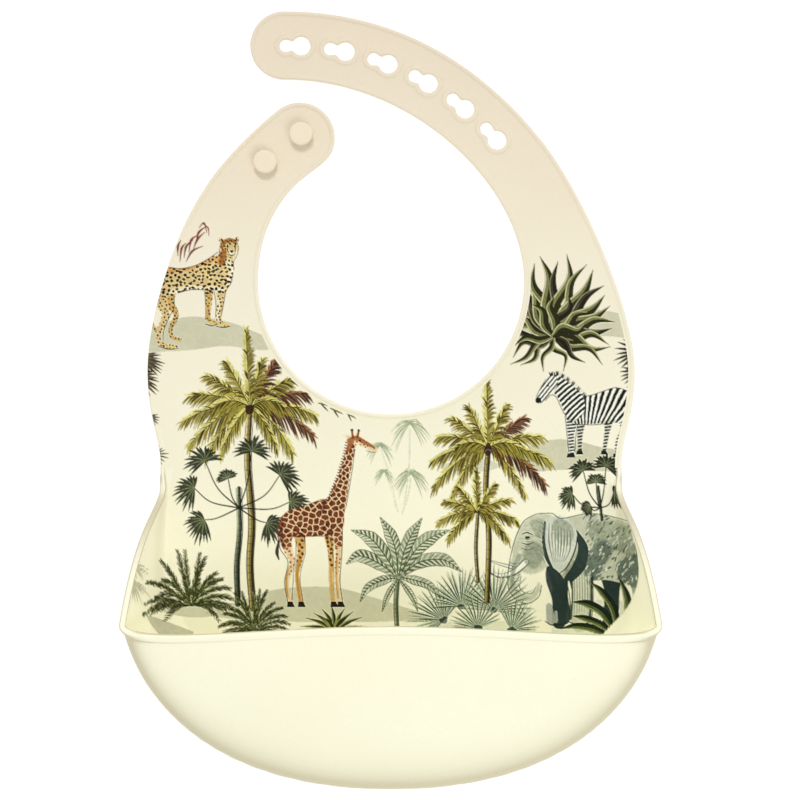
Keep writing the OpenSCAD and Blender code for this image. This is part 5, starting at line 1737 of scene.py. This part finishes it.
def upper_outline():
    a = ahead(EDGE, FOLD_KEY_A) < -10
    s = ahead(EDGE, FOLD_STUD) < -10
    n = len(EDGE)
    i1 = int(np.argmin(a))                                        # right side, from the waist up to the long strap
    tip = int(np.argmin(EDGE[:, 0] + 1e3 * (EDGE[:, 1] < 125)))
    i2 = next(i for i in range(tip, n) if a[i] and EDGE[i, 0] > 0)   # neck, from the long strap
    i3 = next(i for i in range(i2, n) if not s[i] and EDGE[i, 0] < 0)
    i4 = next(i for i in range(i3 + 8, n) if s[i])                 # left side, down to the waist
    p = EDGE + EDGE_N * 2.7
    q = EDGE + EDGE_N * 0.25
    left = q[i4:]
    across = np.linspace(p[i3 - 1], left[0], 110)[1:-1]
    return np.concatenate([p[:i1], p[i2:i3], across, left]), i4


def thin_out(path, gap=0.3):
    keep = [0]
    for i in range(1, len(path)):
        if np.linalg.norm(path[i] - path[keep[-1]]) > gap:
            keep.append(i)
    return path[keep]


def build_films():
    outline, i4 = upper_outline()
    outline = thin_out(outline)
    # close along the waist with even points
    base = np.linspace(outline[-1], outline[0], 380)[1:-1]
    outline = np.concatenate([outline, base])

    def height(p):
        d = np.full(len(p), 9.0)
        left = p[:, 0] < -60
        d[left] = edge_distance(p[left], i4 - 6, len(EDGE))
        proud = 0.02 + 0.05 * np.clip((-5 - p[:, 1]) / 3, 0, 1)      # a little more where the sheet folds
        return bead_height(np.maximum(d, 0.2)) + np.where(d < 2.7, np.maximum(proud, 0.05), proud)

    def on_bead(p):
        res = np.zeros(len(p), bool)
        w = np.where(p[:, 0] < -50)[0]
        res[w] = edge_distance(p[w], i4 - 6, len(EDGE)) < 2.8
        return res

    bend = lambda p: (p[:, 1] < -5)
    films = {}
    for side, loop in zip(("right", "left"), split_loop(outline)):
        films["upper_" + side] = film_slab("upper_print_film_" + side, loop, height, bend, on_bead if side == "left" else None, 0.35)
    fe = floor_edge()
    n = left_normals(fe)
    if (n[len(n) // 2] @ np.array([0, 1.0])) < 0:
        n = -n
    n[0], n[-1] = (1, 0), (-1, 0)
    inner = fe - n * 0.15
    inner[0, 1] = inner[-1, 1] = WAIST_Y
    keep = inner[:, 1] > -97
    left_run = inner[keep & (inner[:, 0] < 0)]
    right_run = inner[keep & (inner[:, 0] > 0)]
    foot = np.linspace((left_run[-1][0], -97.0), (right_run[0][0], -97.0), 140)
    head = np.linspace(right_run[-1], left_run[0], 150)[1:-1]
    loop = thin_out(np.concatenate([left_run, foot, right_run, head]))
    for side, part in zip(("right", "left"), split_loop(loop)):
        films["lower_" + side] = film_slab("lower_print_film_" + side, part, lambda p: np.full(len(p), SHEET + 0.02),
                                           lambda p: np.zeros(len(p), bool), None, 0.05)
    return films


def split_loop(loop):
    """Cuts a counter-clockwise loop along x = 0 into a right and a left loop that share the cut's points."""
    x = loop[:, 0]
    n = len(loop)
    cuts = [i for i in range(n) if (x[i] > 0) != (x[(i + 1) % n] > 0)]
    ends = []
    for i in cuts:
        a, b = loop[i], loop[(i + 1) % n]
        t = a[0] / (a[0] - b[0])
        ends.append(a + (b - a) * t)
    out = []
    i, j = cuts
    first, second = loop[i + 1:j + 1], np.concatenate([loop[j + 1:], loop[:i + 1]])
    m = max(3, int(np.linalg.norm(ends[1] - ends[0]) / 0.45))
    seam = np.linspace(ends[0], ends[1], m)
    seam[:, 0] = 0.0
    seam = seam[np.abs(seam[:, 0]) < 1]
    def trim(run):
        return run[(np.linalg.norm(run - seam[0], axis=1) > 0.12) & (np.linalg.norm(run - seam[-1], axis=1) > 0.12)]
    one = np.concatenate([trim(first), seam[::-1]])
    two = np.concatenate([trim(second), seam])
    return (one, two) if first[:, 0].mean() > 0 else (two, one)


BACK = np.array([243, 240, 218], np.float32) / 255
LOOK = PAGE[..., :3] + BACK * (1 - PAGE[..., 3:])
DETAIL = box_range(LOOK, 4)
DETAIL_MID = box_range(LOOK, 8)
DETAIL_WIDE = box_range(LOOK[::2, ::2], 8).repeat(2, 0).repeat(2, 1)[:H, :W]
# ---------------------------------------------------------------- build
flat = build_flat_pieces()
for ob in flat.values():
    paint_object(ob, mat_panel)
pocket = build_pocket()
ink_side = np.zeros(len(pocket.data.vertices), np.float32)
pocket.data.attributes["ink_side"].data.foreach_get("value", ink_side)
set_ink(pocket, ink_side > 0.5)
pocket.data.attributes.remove(pocket.data.attributes["ink_side"])
# weight of the painted glow: the pocket's inner side, rising with height up the walls
wall = pocket.data.attributes.new("thin_wall", "FLOAT", "POINT")
high = np.zeros(len(pocket.data.vertices) * 3, np.float32)
pocket.data.vertices.foreach_get("co", high)
wall.data.foreach_set("value", (ink_side * smooth((high[2::3] / MM - 4.0) / 14.0)).astype(np.float32))
# the painted shade on steep walls may fall only here, on the pocket's outer side
outside = pocket.data.attributes.new("outer_wall", "FLOAT", "POINT")
outside.data.foreach_set("value", (1 - ink_side).astype(np.float32))
paint_object(pocket, mat_pocket)
studs = {n: build_stud(n + "_moulded", *p) for n, p in STUDS.items()}
for ob in studs.values():
    paint_object(ob, mat_stud)
films = build_films()
for ob in films.values():
    paint_object(ob, mat_film)

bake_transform(flat["panel_body"])
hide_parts("lower_panel", "upper_panel")


def across(fold, reach=9.0):
    (x, y), deg = fold
    d = heading(deg)
    return ((x - reach * d[0]) * MM, (y - reach * d[1]) * MM, 0), ((x + reach * d[0]) * MM, (y + reach * d[1]) * MM, 0)


for name, a, b, fold, node_name in (
        ("short_strap_sheet", "upper_bib", "short_strap", FOLD_STUD, "stud_strap"),
        ("keyhole_strap_root_sheet", "upper_bib", "long_strap_root", FOLD_KEY_A, "keyhole_strap_root"),
        ("keyhole_strap_middle_sheet", "long_strap_root", "long_strap_middle", FOLD_KEY_B, "keyhole_strap_middle"),
        ("keyhole_strap_end_sheet", "long_strap_middle", "long_strap_end", FOLD_KEY_C, "keyhole_strap_end")):
    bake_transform(flat[name])
    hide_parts(node_name)

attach(pocket, "lower_bib")
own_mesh(pocket)
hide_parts("catch_pocket", "pocket_lip")
for n, ob in studs.items():
    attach(ob, "short_strap")
    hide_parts(n)
for n, ob in films.items():
    if n.startswith("lower"):
        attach(ob, "lower_bib")
        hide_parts("lower_print")
    else:
        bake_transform(ob)
        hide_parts("upper_print")

# ---------------------------------------------------------------- floor, light, camera
floor_mesh = bpy.data.meshes.new("floor")
R = 6.0
floor_mesh.from_pydata([(-R, -R, -0.0006), (R, -R, -0.0006), (R, R, -0.0006), (-R, R, -0.0006)], [], [(0, 1, 2, 3)])
floor = bpy.data.objects.new("floor", floor_mesh)
bpy.context.scene.collection.objects.link(floor)
fm, fn, fb = nodes_of("pale floor")
fb.inputs["Base Color"].default_value = (0.36, 0.36, 0.357, 1)
fb.inputs["Roughness"].default_value = 0.9
fb.inputs["Specular IOR Level"].default_value = 0.0
fb.inputs["Emission Color"].default_value = (1, 1, 0.995, 1)
fb.inputs["Emission Strength"].default_value = 0.74
floor_mesh.materials.append(fm)

world = bpy.data.worlds.new("studio")
bpy.context.scene.world = world
world.use_nodes = True
bg = world.node_tree.nodes["Background"]
bg.inputs[0].default_value = (1.0, 0.995, 0.985, 1)
# a studio sweep: bright where it meets the floor, softer overhead
wt = world.node_tree
way = wt.nodes.new("ShaderNodeTexCoord")
up = wt.nodes.new("ShaderNodeSeparateXYZ")
sweep = wt.nodes.new("ShaderNodeMapRange")
sweep.interpolation_type = "SMOOTHSTEP"
sweep.inputs["From Min"].default_value = 0.1
sweep.inputs["From Max"].default_value = 0.42
sweep.inputs["To Min"].default_value = 1.0
sweep.inputs["To Max"].default_value = 0.588
wt.links.new(way.outputs["Generated"], up.inputs[0])
wt.links.new(up.outputs[2], sweep.inputs["Value"])
wt.links.new(sweep.outputs[0], bg.inputs[1])


def area(name, at, target, size, power, colour=(1, 1, 1)):
    li = bpy.data.lights.new(name, "AREA")
    li.shape = "RECTANGLE"
    li.size, li.size_y = size
    li.energy = power
    li.color = colour
    ob = bpy.data.objects.new(name, li)
    bpy.context.scene.collection.objects.link(ob)
    ob.location = at
    d = np.array(target, float) - np.array(at, float)
    from mathutils import Vector
    ob.rotation_mode = "QUATERNION"
    ob.rotation_quaternion = Vector(d).to_track_quat("-Z", "Y")
    return ob


area("key", (-0.12, 0.95, 1.35), (0, 0.02, 0), (0.35, 0.3), 8.4, (1, 0.992, 0.975))
area("fill", (0.45, -0.66, 1.12), (0.02, -0.12, 0), (0.7, 0.6), 4.1, (1, 1, 0.99))

cam_data = bpy.data.cameras.new("camera")
cam = bpy.data.objects.new("camera", cam_data)
bpy.context.scene.collection.objects.link(cam)
cam.location = (CAM_X * MM, 0, CAM_H * MM)
cam.rotation_euler = (0, 0, 0)
cam_data.sensor_width = 36
cam_data.lens = 36 / 330.3 * CAM_H
cam_data.clip_start, cam_data.clip_end = 0.05, 50
bpy.context.scene.camera = cam
bpy.context.scene.view_settings.view_transform = "Standard"
bpy.context.scene.view_settings.look = "None"

bpy.context.view_layer.update()
